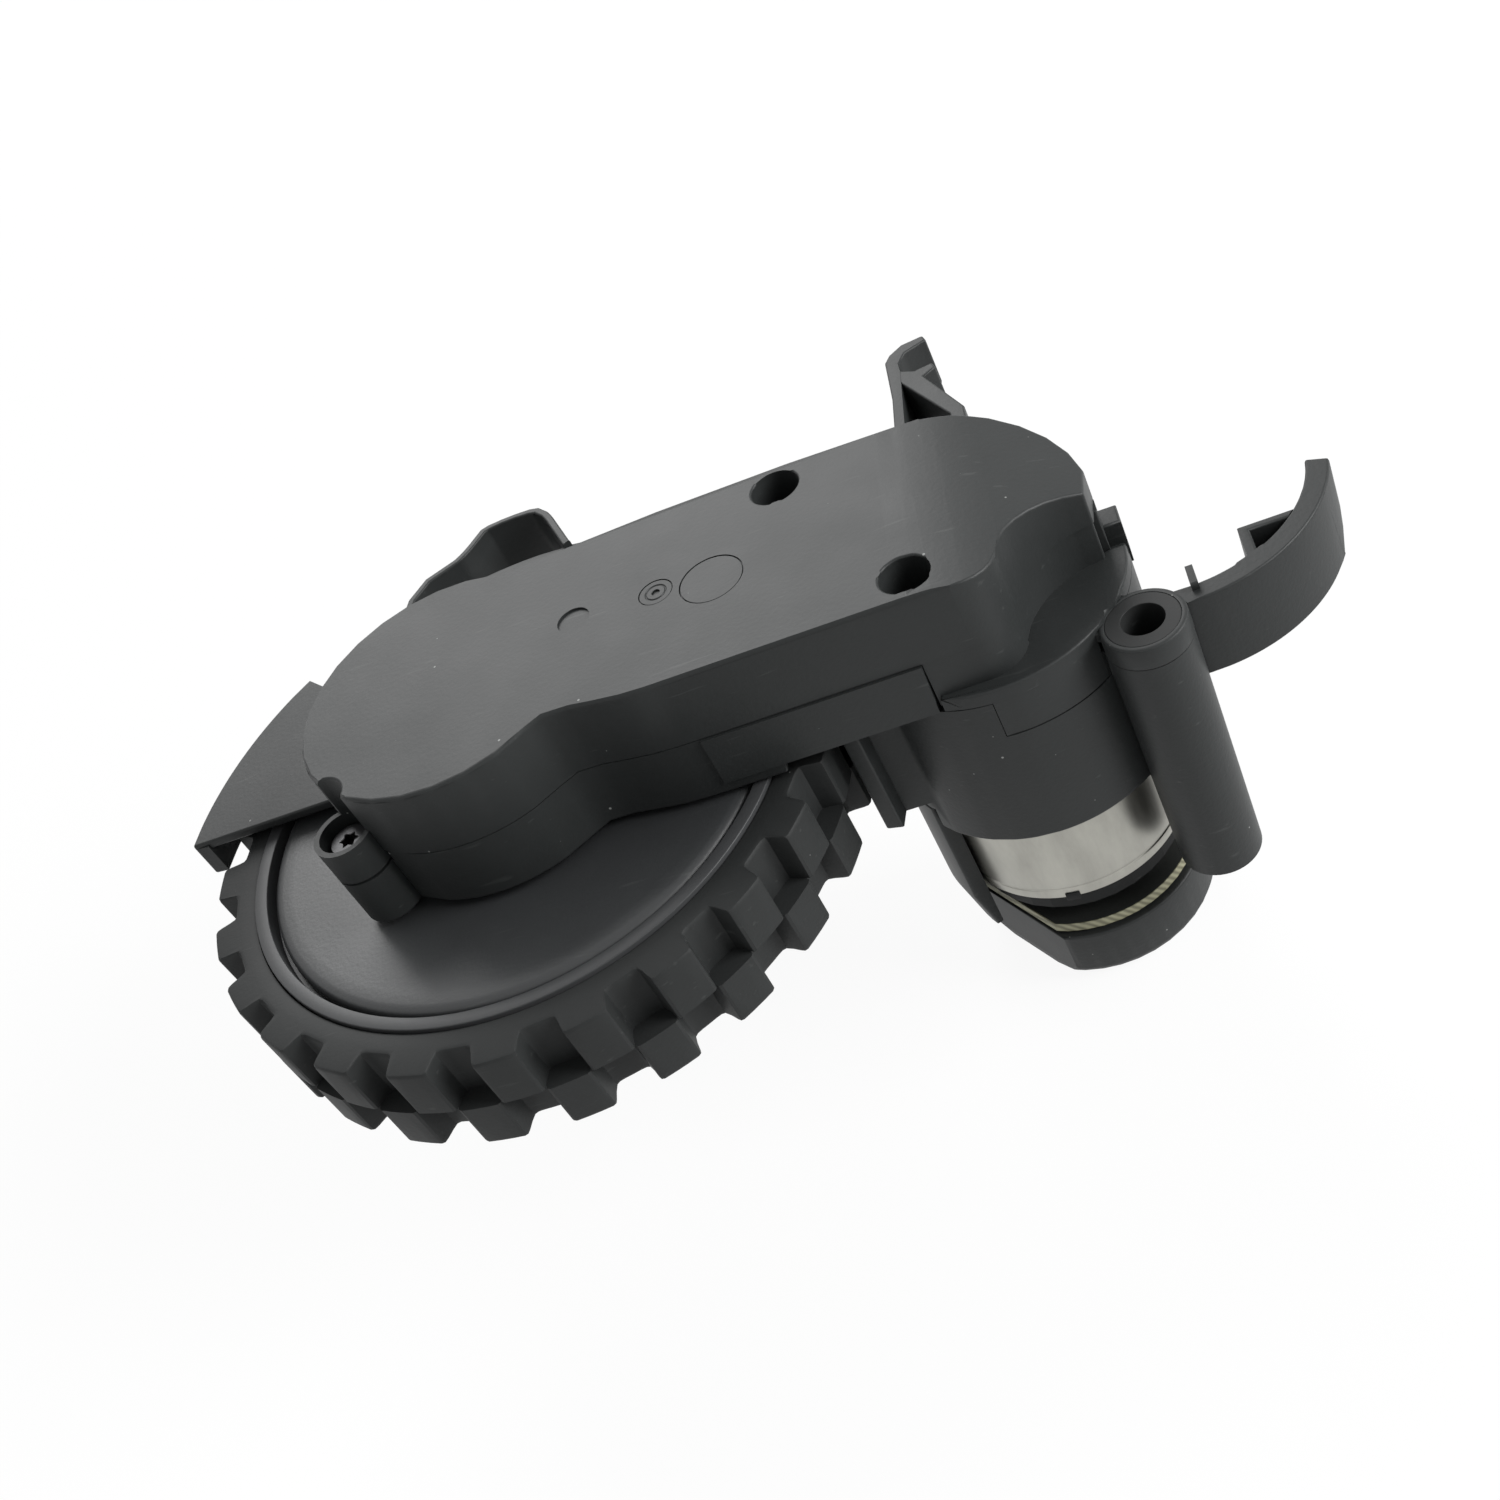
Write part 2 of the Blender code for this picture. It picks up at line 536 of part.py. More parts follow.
def gearbox_base():
    outline = box_outline(False)
    body = prism(outline, FLOOR_LOW, SEAM_Z)
    cut(body, box((STEP_X, LOW_Y - 5, FLOOR_LOW - 1), (MOTOR.x + 20, TOP_Y + 5, FLOOR_HIGH)))
    join(body, sleeve())
    join(body, box((STEP_X - 6.0, LOW_Y - 0.25, FLOOR_HIGH + 0.05),
                   (MOTOR.x + SHELF_X - GAP, LOW_Y + 0.5, SEAM_Z - 0.05)))
    join(body, cylinder(LUG.x, LUG.y, FLOOR_LOW + 0.02, LUG_FLOOR - 1.2 - GAP, LUG_R, 24))
    inside = shrink(outline, WALL)
    cut(body, prism(inside, PLATE_TOP, SEAM_Z + 2))
    deep = prism(inside, FLOOR_LOW + FLOOR_T, PLATE_TOP + 1)
    cut(deep, box((STEP_X - 3.0, LOW_Y - 2, FLOOR_LOW), (MOTOR.x + 20, TOP_Y + 2, SEAM_Z)))
    cut(body, deep)
    cut(body, ledge_zone(WALL + GAP, LEDGE_LOW - GAP, SEAM_Z + 1))
    join(body, fender())
    join(body, arch())
    join(body, loop_pocket())
    join(body, hook_arm())
    join(body, pivot_tube())
    join(body, curved_arm())
    join(body, box((MOTOR.x + RIGHT_R - 1.0, MOTOR.y + 0.9, 6.2),
                   (MOTOR.x + RIGHT_R + 1.6, MOTOR.y + 3.6, 11.4)))
    join(body, *bosses((PIN_2, PIN_3), 2.3, FLOOR_LOW + 0.3, FLOOR_LOW + FLOOR_T + 0.3))
    join(body, *bosses((PIN_1,), 2.3, FLOOR_HIGH + 0.3, PLATE_TOP + 0.2))
    for boss in bosses((REAR_SCREW, FRONT_SCREW), 2.2, FLOOR_HIGH + 0.2, WELL_FLOOR - COVER_T - GAP):
        join(body, within(boss, prism(shrink(box_outline(True), WALL + GAP), FLOOR_LOW, SEAM_Z)))
    join(body, cylinder(0, 0, FLOOR_LOW + 0.01, FLOOR_LOW + 2.0, 6.8, 24))
    cut(body, cylinder(0, 0, FLOOR_LOW + 0.6, FLOOR_LOW + 3, 5.3, 24))
    cut(body, cylinder(0, 0, FLOOR_LOW - 1, FLOOR_LOW + 1, 4.0, 24))
    for pin, low in ((PIN_1, FLOOR_HIGH + 0.5), (PIN_2, FLOOR_LOW + 0.7), (PIN_3, FLOOR_LOW + 0.7)):
        cut(body, cylinder(pin.x, pin.y, low, low + 4, PIN_R + GAP, 12))
    for spot in (REAR_SCREW, FRONT_SCREW):
        cut(body, cylinder(spot.x, spot.y, FLOOR_HIGH + 0.9, SEAM_Z + 1, 1.4, 12))
    cut(body, cylinder(LUG.x, LUG.y, LUG_FLOOR - 1.2 - GAP, SEAM_Z + 1, LUG_R + GAP, 24))
    cut(body, cylinder(LUG.x, LUG.y, FLOOR_LOW + 1.0, SEAM_Z + 1, 1.4, 12))
    cut(body, cylinder(MOTOR.x, MOTOR.y, SLEEVE_LOW - 1, FLOOR_HIGH, CAN_R + GAP, 36))
    cut(body, cylinder(MOTOR.x, MOTOR.y, FLOOR_HIGH - 1, PLATE_TOP + 1, 3.6, 20))
    for side in (-8.0, 8.0):
        cut(body, cylinder(MOTOR.x, MOTOR.y + side, FLOOR_HIGH - 1, PLATE_TOP + 1, 1.5, 12))
    cut(body, cylinder(TUBE.x, TUBE.y, TUBE_TOP - COLLAR_H - GAP, TUBE_TOP + 1, TUBE_R + GAP, 28))
    cut(body, cylinder(TUBE.x, TUBE.y, TUBE_LOW - 1, TUBE_TOP + 1, BUSH_BORE_R + 0.9, 20))
    cut(body, cylinder(TUBE.x, TUBE.y, TUBE_LOW - 1, TUBE_LOW + 1.2, BUSH_BORE_R + 1.4, 20))
    cut(body, tongue(GAP, LEDGE_LOW + 1.0))
    return finish(body, "gearbox_base", "abs_base", (TUBE.x, TUBE.y, TUBE_TOP), 35)


def tongue(grow, top):
    """The strip of the cover that laps the sleeve; grow makes the room for it."""
    outer = arc(MOTOR.x, MOTOR.y, SLEEVE_R + (2.0 if grow else -0.06), -94 - grow * 4, -49 + grow * 4, 6)
    inner = arc(MOTOR.x, MOTOR.y, SLEEVE_R - 0.9 - grow, -49 + grow * 4, -94 - grow * 4, 6)
    return prism(outer + inner, 4.0 - grow, top)


def above_slope(lift, low_y, high_y):
    """All that stands over the cover's top where it falls away; lift moves the surface."""
    start = MOTOR.x + SLOPE_START
    falls = ((-6.0, -0.01), (-2.5, 0.1), (0.5, 0.5), (4.0, SLOPE * 4.0), (20.0, SLOPE * 20.0))
    line = [(start + x, TOP_Z - fall + lift) for x, fall in falls]
    roof = [(start + 20.0, TOP_Z + 6.0), (start - 6.0, TOP_Z + 6.0)]
    tool = prism(line + roof, -high_y, -low_y)
    tool.data.transform(Matrix.Rotation(math.radians(90), 4, "X"))
    return tool


def cover_outer():
    """The cover's outside: upright walls, a softened edge and a top that falls away at the motor."""
    outline = box_outline(True)
    rings = [(shrink(outline, inset), TOP_Z - drop)
             for drop, inset in ((TOP_Z - SEAM_TOP, 0.0), (0.4, 0.0), (0.0, 0.3))]
    return cut(loft(rings), above_slope(0.0, LOW_Y - 5.0, TOP_Y + 5.0))


def cover_hollow(outline):
    """The room under the cover, which follows its top."""
    body = prism(shrink(outline, WALL), SEAM_TOP - 1.0, TOP_Z - COVER_T)
    return cut(body, above_slope(-COVER_T, LOW_Y - 2.0, TOP_Y + 2.0))


def gearbox_cover():
    outline = box_outline(True)
    body = cut(cover_outer(), cover_hollow(outline))
    inner_line = offset(s_wall(), WALL - 0.1, closed=False)
    join(body, prism(offset(s_wall(), 0.12, closed=False) + list(reversed(inner_line)),
                     LEDGE_LOW + 0.4, SEAM_TOP + 0.6))
    ledge = [(MOTOR.x + SHELF_X + 0.25, LOW_Y + 0.7)] + offset(s_wall(), 0.7, closed=False)[1:-1]
    ledge += [(MOTOR.x + RIGHT_R - 0.2, MOTOR.y - 0.6)] + arc(MOTOR.x, MOTOR.y, SLEEVE_R, -2.4, -112, 14)
    join(body, prism(ledge, LEDGE_LOW, LEDGE_TOP))
    fill = cylinder(LUG.x, LUG.y, SEAM_TOP + 0.2, TOP_Z - 0.7, LUG_R + 0.7, 21)
    join(body, within(fill, cylinder(0, 0, SEAM_Z, TOP_Z, LEFT_R - 0.9, 45)))
    join(body, cylinder(LUG.x, LUG.y, LUG_FLOOR - 1.2, LUG_Z, LUG_R, 24))
    for spot in (REAR_SCREW, FRONT_SCREW):
        well = cylinder(spot.x, spot.y, SEAM_TOP + 0.05, TOP_Z - 0.9, WELL_R + 0.7, 18)
        join(body, within(well, prism(shrink(outline, 0.3), SEAM_Z, TOP_Z)))
        foot = cylinder(spot.x, spot.y, WELL_FLOOR - COVER_T, SEAM_TOP + 0.4, WELL_R + 0.65, 18)
        join(body, within(foot, prism(shrink(outline, WALL + GAP), SEAM_Z - 5, TOP_Z)))
    join(body, *bosses((PIN_1, PIN_2, PIN_3), 2.3, SEAM_TOP + 3.0, TOP_Z - 0.9))
    join(body, cylinder(0, 0, SEAM_TOP + 3.0, TOP_Z - 0.9, 5.0, 20))
    toward = (MOTOR - TUBE).normalized()
    middle = TUBE + toward * 3.6
    turn = math.degrees(math.atan2(toward.y, toward.x))
    join(body, box((middle.x - 2.9, middle.y - 2.6, LEDGE_LOW + 0.05),
                   (middle.x + 2.9, middle.y + 2.6, TUBE_TOP - 0.2), turn))
    join(body, cylinder(TUBE.x, TUBE.y, TUBE_TOP - COLLAR_H, TUBE_TOP, TUBE_R, 28))
    join(body, tongue(0.0, LEDGE_LOW + 0.3))
    for spot in (REAR_SCREW, FRONT_SCREW):
        cut(body, cylinder(spot.x, spot.y, WELL_FLOOR, TOP_Z + 1, WELL_R, 24))
        cut(body, cylinder(spot.x, spot.y, WELL_FLOOR - 3, WELL_FLOOR + 1, 1.5, 10))
    cut(body, cylinder(LUG.x, LUG.y, LUG_FLOOR, TOP_Z + 1, LUG_R - 0.6, 24))
    cut(body, cylinder(LUG.x, LUG.y, SEAM_Z - 2, SEAM_Z + 2, 1.5, 12))
    for pin in (PIN_1, PIN_2, PIN_3):
        cut(body, cylinder(pin.x, pin.y, SEAM_TOP + 2, TOP_Z - COVER_T - 0.3, PIN_R + GAP, 12))
    cut(body, cylinder(0, 0, SEAM_TOP + 2, TOP_Z - COVER_T - 0.2, 3.8, 20))
    cut(body, cylinder(TUBE.x, TUBE.y, TUBE_TOP - 1.2, TUBE_TOP + 1, BUSH_BORE_R + 1.5, 24))
    cut(body, cylinder(TUBE.x, TUBE.y, TUBE_TOP - COLLAR_H - 1, TUBE_TOP + 1, BUSH_BORE_R + 0.9, 20))
    for x, y, r in ((PIN_3.x - 1.5, PIN_3.y + 1.6, 1.7), (PIN_2.x - 5.1, PIN_2.y + 1.0, 1.8),
                    (PIN_2.x + 0.6, PIN_2.y, 3.3)):
        cut(body, cylinder(x, y, TOP_Z - 0.22, TOP_Z + 1, r, 20))
    return finish(body, "gearbox_cover", "abs_cover", (0, 0, SEAM_TOP), 35)


# Fasteners

def fasteners():
    for name, spot in (("cover_screw_rear", REAR_SCREW), ("cover_screw_front", FRONT_SCREW)):
        screw(name, spot.x, spot.y, WELL_FLOOR + GAP, 4.6, 2.1, 1.7, 1.1, "screw_black")
    screw("lug_screw", LUG.x, LUG.y, LUG_FLOOR + GAP, 5.8, 2.0, 1.4, 1.1, "screw_black")
    for name, side in (("motor_screw_front", -8.0), ("motor_screw_rear", 8.0)):
        screw(name, MOTOR.x, MOTOR.y + side, PLATE_TOP + GAP, 3.2, 2.1, 1.2, 1.15, "steel")
    screw("wheel_screw", 0, 0, TREAD_LOW + 2.4, 4.2, 3.0, 1.5, 1.25, "steel", down=False)


# Motor

def motor():
    can = turned([(1.3, CAN_TOP), (CAN_R - 0.8, CAN_TOP), (CAN_R, CAN_TOP - 0.8), (CAN_R, CAN_LOW),
                  (1.3, CAN_LOW)], 40, MOTOR)
    for side in (-8.0, 8.0):
        cut(can, cylinder(MOTOR.x, MOTOR.y + side, CAN_TOP - 2.6, CAN_TOP + 1, 1.45, 16))
    for turn in (-78, 102):
        a = math.radians(turn)
        notch = MOTOR + Vector((math.cos(a), math.sin(a))) * (CAN_R - 0.3)
        cut(can, box((notch.x - 1.1, notch.y - 1.1, CAN_LOW - 1),
                     (notch.x + 1.1, notch.y + 1.1, CAN_LOW + 1.3), turn))
    finish(can, "motor_can", "can_steel", (MOTOR.x, MOTOR.y, CAN_TOP), 30)
    bell_top = CAN_LOW - GAP
    bell = cylinder(MOTOR.x, MOTOR.y, bell_top - BELL_T, bell_top, CAN_R - 0.9, 32)
    cut(bell, cylinder(MOTOR.x, MOTOR.y, bell_top - BELL_T - 1, bell_top + 1, 1.3, 16))
    for side in (-1, 1):
        cut(bell, box((MOTOR.x + side * 7.5 - 1.1, MOTOR.y - 0.6, bell_top - BELL_T - 1),
                      (MOTOR.x + side * 7.5 + 1.1, MOTOR.y + 0.6, bell_top - 0.8)))
        tab = box((MOTOR.x + side * 7.5 - 0.8, MOTOR.y - 0.3, BOARD_TOP + GAP),
                  (MOTOR.x + side * 7.5 + 0.8, MOTOR.y + 0.3, bell_top - 1.1))
        finish(tab, "motor_terminal_" + ("left" if side < 0 else "right"), "brass",
               (MOTOR.x + side * 7.5, MOTOR.y, BOARD_TOP + GAP))
    finish(bell, "motor_end_bell", "bell", (MOTOR.x, MOTOR.y, bell_top), 30)
    shaft = cylinder(MOTOR.x, MOTOR.y, BOARD_TOP + 0.8, PLATE_TOP + 4.2, PIN_R, 12)
    finish(shaft, "motor_shaft", "steel", (MOTOR.x, MOTOR.y, 0), 30)
    toward = math.degrees(CHAIN_ANGLE) + 180
    pinion = gear(MOTOR.x, MOTOR.y, MOTOR_TEETH, FIRST_MODULE, toward, PLATE_TOP + 0.4, PLATE_TOP + 2.8)
    cut(pinion, cylinder(MOTOR.x, MOTOR.y, PLATE_TOP - 1, PLATE_TOP + 4, PIN_R + GAP, 16))
    finish(pinion, "motor_pinion", "brass", (MOTOR.x, MOTOR.y, PLATE_TOP + 0.4), 25)
    magnet_top = bell_top - BELL_T - GAP
    ring = cylinder(MOTOR.x, MOTOR.y, BOARD_TOP + 0.5, magnet_top, 3.6, 24)
    cut(ring, cylinder(MOTOR.x, MOTOR.y, BOARD_TOP - 1, magnet_top + 1, PIN_R + GAP, 16))
    finish(ring, "encoder_magnet", "ferrite", (MOTOR.x, MOTOR.y, magnet_top), 30)


def past_flat(inset, low, top):
    """All that lies past the cap's flat side, from inset inside it."""
    middle = MOTOR + Vector((math.cos(FLAT_ANGLE), math.sin(FLAT_ANGLE))) * (CUP_FLAT - inset + CUP_R)
    reach = 2.0 * CUP_R
    return box((middle.x - CUP_R, middle.y - reach, low), (middle.x + CUP_R, middle.y + reach, top),
               math.degrees(FLAT_ANGLE))


def motor_board():
    low = BOARD_TOP - BOARD_T
    board = cylinder(MOTOR.x, MOTOR.y, low, BOARD_TOP, CUP_R - 0.7, 40)
    cut(board, past_flat(0.2, low - 1.0, BOARD_TOP + 1.0))
    finish(board, "motor_board", "board", (MOTOR.x, MOTOR.y, BOARD_TOP), 30)
    plug_low = low - GAP - 4.6
    face = MOTOR.y + CUP_R - 1.5
    plug = box((MOTOR.x - 4.2, face - 5.8, plug_low), (MOTOR.x + 4.2, face, low - GAP))
    cut(plug, box((MOTOR.x - 3.5, face - 4.9, plug_low + 0.8), (MOTOR.x + 3.5, face + 0.8, low - GAP - 0.8)))
    finish(plug, "board_connector", "connector", (MOTOR.x, face - 2.9, low - GAP), 20)
    chip = box((MOTOR.x - 2.0, MOTOR.y - 6.6, BOARD_TOP + GAP),
               (MOTOR.x + 2.0, MOTOR.y - 4.2, BOARD_TOP + 1.3))
    finish(chip, "encoder_sensor", "bell", (MOTOR.x, MOTOR.y - 5.4, BOARD_TOP + GAP), 20)


def rear_cap():
    """The cup under the board, with the side arm that rises beside the can."""
    cup = turned([(0, CUP_TOP), (CUP_R, CUP_TOP), (CUP_R, CUP_LOW + 1.6), (CUP_R - 0.5, CUP_LOW + 0.5),
                  (CUP_R - 1.6, CUP_LOW), (0, CUP_LOW)], 40, MOTOR)
    outer_r = SLEEVE_R - 0.1
    inner_r = CAN_R + 0.35
    top = SLEEVE_LOW + 2.2
    arm = turned([(inner_r, top), (outer_r, top), (outer_r, CAN_LOW), (CUP_R - 0.05, CUP_TOP - 3.0),
                  (CUP_R - 0.7, CUP_TOP - 3.0), (CUP_R - 0.7, CUP_TOP - 0.3),
                  (inner_r, CUP_TOP + 0.1)], 72, MOTOR)
    sector = [(MOTOR.x, MOTOR.y)] + arc(MOTOR.x, MOTOR.y, SLEEVE_R + 3.0, 170, 215, 8)
    join(cup, within(arm, prism(sector, CUP_LOW, top + 1)))
    cut(cup, past_flat(0.0, CUP_LOW - 1.0, CUP_TOP + 0.05))
    room = cylinder(MOTOR.x, MOTOR.y, CUP_LOW + WALL, CUP_TOP + 1, CUP_R - 1.4, 40)
    cut(cup, cut(room, past_flat(1.4, CUP_LOW, CUP_TOP + 2.0)))
    side = MOTOR.y + CUP_R
    cut(cup, box((MOTOR.x - 4.6, side - 4.7, CUP_LOW + 1.9), (MOTOR.x + 4.6, side + 3.3, CUP_TOP + 1)))
    finish(cup, "motor_rear_cap", "abs_base", (MOTOR.x, MOTOR.y, CUP_LOW), 35)


# Gears

def compound(name, pin, big, small, module_big, module_small, big_z, small_z, neck_z):
    """A big gear and a pinion on one hub, both phased to mesh along the chain."""
    ahead = math.degrees(CHAIN_ANGLE)
    body = gear(pin.x, pin.y, big, module_big, ahead + 180.0 / big, *big_z)
    join(body, gear(pin.x, pin.y, small, module_small, ahead + 180, *small_z))
    join(body, cylinder(pin.x, pin.y, neck_z[0], neck_z[1], PIN_R + GAP + 0.8, 16))
    cut(body, cylinder(pin.x, pin.y, 6, 20, PIN_R + GAP, 12))
    finish(body, name, "acetal", (pin.x, pin.y, big_z[0]), 25)


def gears():
    first = PLATE_TOP + 0.5
    second = first + 2.3
    third = second + 2.2
    compound("gear_1", PIN_1, FIRST_TEETH, SECOND_PINION, FIRST_MODULE, SECOND_MODULE,
             (first, first + 1.8), (first + 1.6, second + 2.0), (first + 0.1, second + 1.0))
    compound("gear_2", PIN_2, SECOND_TEETH, THIRD_PINION, SECOND_MODULE, THIRD_MODULE,
             (second, second + 1.7), (second + 1.5, third + 2.1), (second + 0.1, third))
    low = FLOOR_LOW + 2.3
    compound("gear_3", PIN_3, THIRD_TEETH, LAST_TEETH, THIRD_MODULE, OUT_MODULE,
             (third, third + 1.7), (low - 0.1, low + 2.9), (low, third + 0.5))
    out = gear(0, 0, OUT_TEETH, OUT_MODULE, math.degrees(CHAIN_ANGLE) + 180.0 / OUT_TEETH, low, low + 2.7)
    cut(out, cylinder(0, 0, low - 1, low + 4, AXLE_R + GAP, 16))
    finish(out, "output_gear", "acetal", (0, 0, low), 25)
    for name, pin, bottom in (("gear_pin_1", PIN_1, FLOOR_HIGH + 0.8), ("gear_pin_2", PIN_2, FLOOR_LOW + 1.0),
                              ("gear_pin_3", PIN_3, FLOOR_LOW + 1.0)):
        finish(cylinder(pin.x, pin.y, bottom, TOP_Z - COVER_T - 0.6, PIN_R, 12), name, "steel",
               (pin.x, pin.y, bottom), 30)


# Wheel

def wheel():
    hub_r = BEAD_R - GAP
    seat = hub_r - RIM_STEP
    hub = turned([(AXLE_R + GAP, TREAD_TOP - 2.0), (6.0, TREAD_TOP - 2.0), (6.0, 1.2), (seat - 1.4, 1.2),
                  (seat - 1.4, TREAD_TOP - 1.9), (seat, TREAD_TOP - 1.9), (seat, TREAD_TOP + 0.3),
                  (hub_r, TREAD_TOP + 0.3), (hub_r, TREAD_LOW + 0.3), (seat, TREAD_LOW + 0.3),
                  (seat, TREAD_LOW + 1.7), (seat - 1.4, TREAD_LOW + 1.7), (seat - 1.4, -0.8), (6.0, -0.8),
                  (6.0, TREAD_LOW + 2.7), (AXLE_R + GAP, TREAD_LOW + 2.7)], 36)
    finish(hub, "wheel_hub", "hub_grey", (0, 0, 0), 30)
    disc_r = seat - GAP
    top = TREAD_TOP - 1.6
    disc = turned([(AXLE_R + 0.9, top + 0.9), (disc_r * 0.6, top + 1.35), (disc_r - 0.8, top + 1.55),
                   (disc_r, top + 1.1), (disc_r, top), (AXLE_R + 0.9, top)], 36)
    finish(disc, "hub_cover", "hub_black", (0, 0, top), 30)
    base = TREAD_LOW + 1.4
    cap = turned([(5.0, base), (disc_r, base), (disc_r, base - 1.0), (disc_r - 0.5, base - 1.3),
                  (5.0, base - 0.9)], 36)
    finish(cap, "outer_cap", "hub_black", (0, 0, base), 30)
    axle_low = TREAD_LOW + 2.9
    axle = cylinder(0, 0, axle_low, TOP_Z - COVER_T - 0.8, AXLE_R, 24)
    cut(axle, cylinder(0, 0, axle_low - 1, axle_low + 5.5, 1.25 + GAP, 16))
    finish(axle, "wheel_axle", "steel", (0, 0, 0), 30)
    bearing = cylinder(0, 0, FLOOR_LOW + 0.9, FLOOR_LOW + 2.0, 5.0, 24)
    cut(bearing, cylinder(0, 0, FLOOR_LOW, FLOOR_LOW + 3, AXLE_R + GAP, 16))
    finish(bearing, "axle_bearing", "steel", (0, 0, FLOOR_LOW + 0.9), 30)
    bush_top = TOP_Z - COVER_T - 0.5
    bush = cylinder(0, 0, SEAM_TOP + 3.2, bush_top, 3.5, 20)
    cut(bush, cylinder(0, 0, SEAM_TOP + 2, bush_top + 1, AXLE_R + GAP, 16))
    finish(bush, "axle_bush", "brass", (0, 0, SEAM_TOP + 3.2), 30)


def tread_outline(turn, tip, root_r):
    """One row of blocks: flat tops, slanted sides and rounded groove corners."""
    points = []
    pitch = 360.0 / BLOCKS
    for i in range(BLOCKS):
        middle = turn + i * pitch
        for share, r in ((-0.31, root_r), (-0.27, root_r + 0.5), (-0.24, tip),
                         (0.24, tip), (0.27, root_r + 0.5), (0.31, root_r)):
            a = math.radians(middle + share * pitch)
            points.append((r * math.cos(a), r * math.sin(a)))
    return points


def tyre():
    root_r = TYRE_R - GROOVE_DEPTH
    half = 180.0 / BLOCKS
    upper = loft([(tread_outline(0, TYRE_R, root_r), TREAD_SPLIT),
                  (tread_outline(0, TYRE_R, root_r), TREAD_TOP - 0.7),
                  (tread_outline(0, TYRE_R - 0.7, root_r - 0.1), TREAD_TOP)])
    lower = loft([(tread_outline(half, TYRE_R - 0.7, root_r - 0.1), TREAD_LOW),
                  (tread_outline(half, TYRE_R, root_r), TREAD_LOW + 0.7),
                  (tread_outline(half, TYRE_R, root_r), TREAD_SPLIT + 0.01)])
    join(upper, lower)
    cut(upper, cylinder(0, 0, TREAD_LOW - 1, TREAD_TOP + 1, BEAD_R, 40))
    finish(upper, "tyre", "rubber", (0, 0, 0), 25)


# Pivot bushes

def pivot_bushes():
    flange_r = BUSH_BORE_R + 1.2
    body_r = BUSH_BORE_R + 0.6
    for name, face, sign, length in (("pivot_bush_top", TUBE_TOP - 0.1, -1, 8.9),
                                     ("pivot_bush_bottom", TUBE_LOW + 0.1, 1, 8.4)):
        step = face + sign * 0.8
        end = face + sign * length
        bush = turned([(BUSH_BORE_R, face), (flange_r, face), (flange_r, step), (body_r, step), (body_r, end),
                       (BUSH_BORE_R, end)], 24, TUBE)
        finish(bush, name, "bell", (TUBE.x, TUBE.y, face), 30)


gearbox_base()
gearbox_cover()
fasteners()
motor()
motor_board()
rear_cap()
gears()
wheel()
tyre()
pivot_bushes()
for tool in cutters.objects:
    tool.hide_render = True
    tool.display_type = "WIRE"
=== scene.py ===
"""Robot vacuum wheel module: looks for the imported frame. Sizes are in millimetres, made metres by MM."""

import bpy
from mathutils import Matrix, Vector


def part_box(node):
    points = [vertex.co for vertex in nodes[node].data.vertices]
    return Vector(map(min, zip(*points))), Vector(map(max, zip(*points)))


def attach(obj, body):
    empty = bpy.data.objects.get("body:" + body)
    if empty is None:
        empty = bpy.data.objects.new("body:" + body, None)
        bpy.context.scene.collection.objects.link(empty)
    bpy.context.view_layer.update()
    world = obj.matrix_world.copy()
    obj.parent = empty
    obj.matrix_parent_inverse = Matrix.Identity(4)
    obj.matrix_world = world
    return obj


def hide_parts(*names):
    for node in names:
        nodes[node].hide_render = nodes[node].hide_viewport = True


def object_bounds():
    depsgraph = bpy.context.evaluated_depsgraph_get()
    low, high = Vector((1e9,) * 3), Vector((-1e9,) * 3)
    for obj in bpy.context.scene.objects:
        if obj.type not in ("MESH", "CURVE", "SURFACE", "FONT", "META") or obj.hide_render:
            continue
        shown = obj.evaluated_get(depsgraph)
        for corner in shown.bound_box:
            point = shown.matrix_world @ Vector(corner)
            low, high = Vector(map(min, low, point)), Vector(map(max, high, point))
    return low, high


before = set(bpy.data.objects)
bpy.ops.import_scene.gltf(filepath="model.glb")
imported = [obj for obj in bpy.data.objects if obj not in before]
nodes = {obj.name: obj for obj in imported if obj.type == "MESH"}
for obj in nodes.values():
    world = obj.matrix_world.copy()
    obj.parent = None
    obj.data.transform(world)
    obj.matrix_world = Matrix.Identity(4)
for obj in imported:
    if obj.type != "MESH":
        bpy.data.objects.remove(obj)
cad_box = [list(corner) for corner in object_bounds()]

import math

import bmesh
import bpy
from mathutils.bvhtree import BVHTree
from mathutils import Matrix, Vector

MM = 0.001


# Camera: a phone held over the module, looking down on the gearbox cover from beside the motor and
# rolled well over, so that the gearbox runs up to the right. Its place, turn and lens were solved from
# the wheel's circles and the gearbox's parallel edges.
CAMERA_PLACE = (2.888, -127.669, 111.827)
CAMERA_TURN = (46.06143, 22.58041, -2.58167)
SENSOR = 36.0
LENS = 44.64
NEAREST = 10.0

eye = bpy.data.cameras.new("camera")
eye.sensor_width = SENSOR
eye.lens = LENS
eye.clip_start = NEAREST * MM
camera = bpy.data.objects.new("camera", eye)
camera.location = [c * MM for c in CAMERA_PLACE]
camera.rotation_euler = [math.radians(a) for a in CAMERA_TURN]
bpy.context.scene.collection.objects.link(camera)
bpy.context.scene.camera = camera
bpy.context.scene.view_settings.view_transform = "Standard"


# Table and room: a white sweep of matt card under the module. It is shown as white to the lens and in
# reflections, and a part of its shading is kept, so the module's soft shadow stays.
def paint(code):
    """A colour written as sRGB hex, turned to linear light."""
    parts = [int(code[i:i + 2], 16) / 255 for i in (1, 3, 5)]
    return (*[c / 12.92 if c <= 0.04045 else ((c + 0.055) / 1.055) ** 2.4 for c in parts], 1.0)


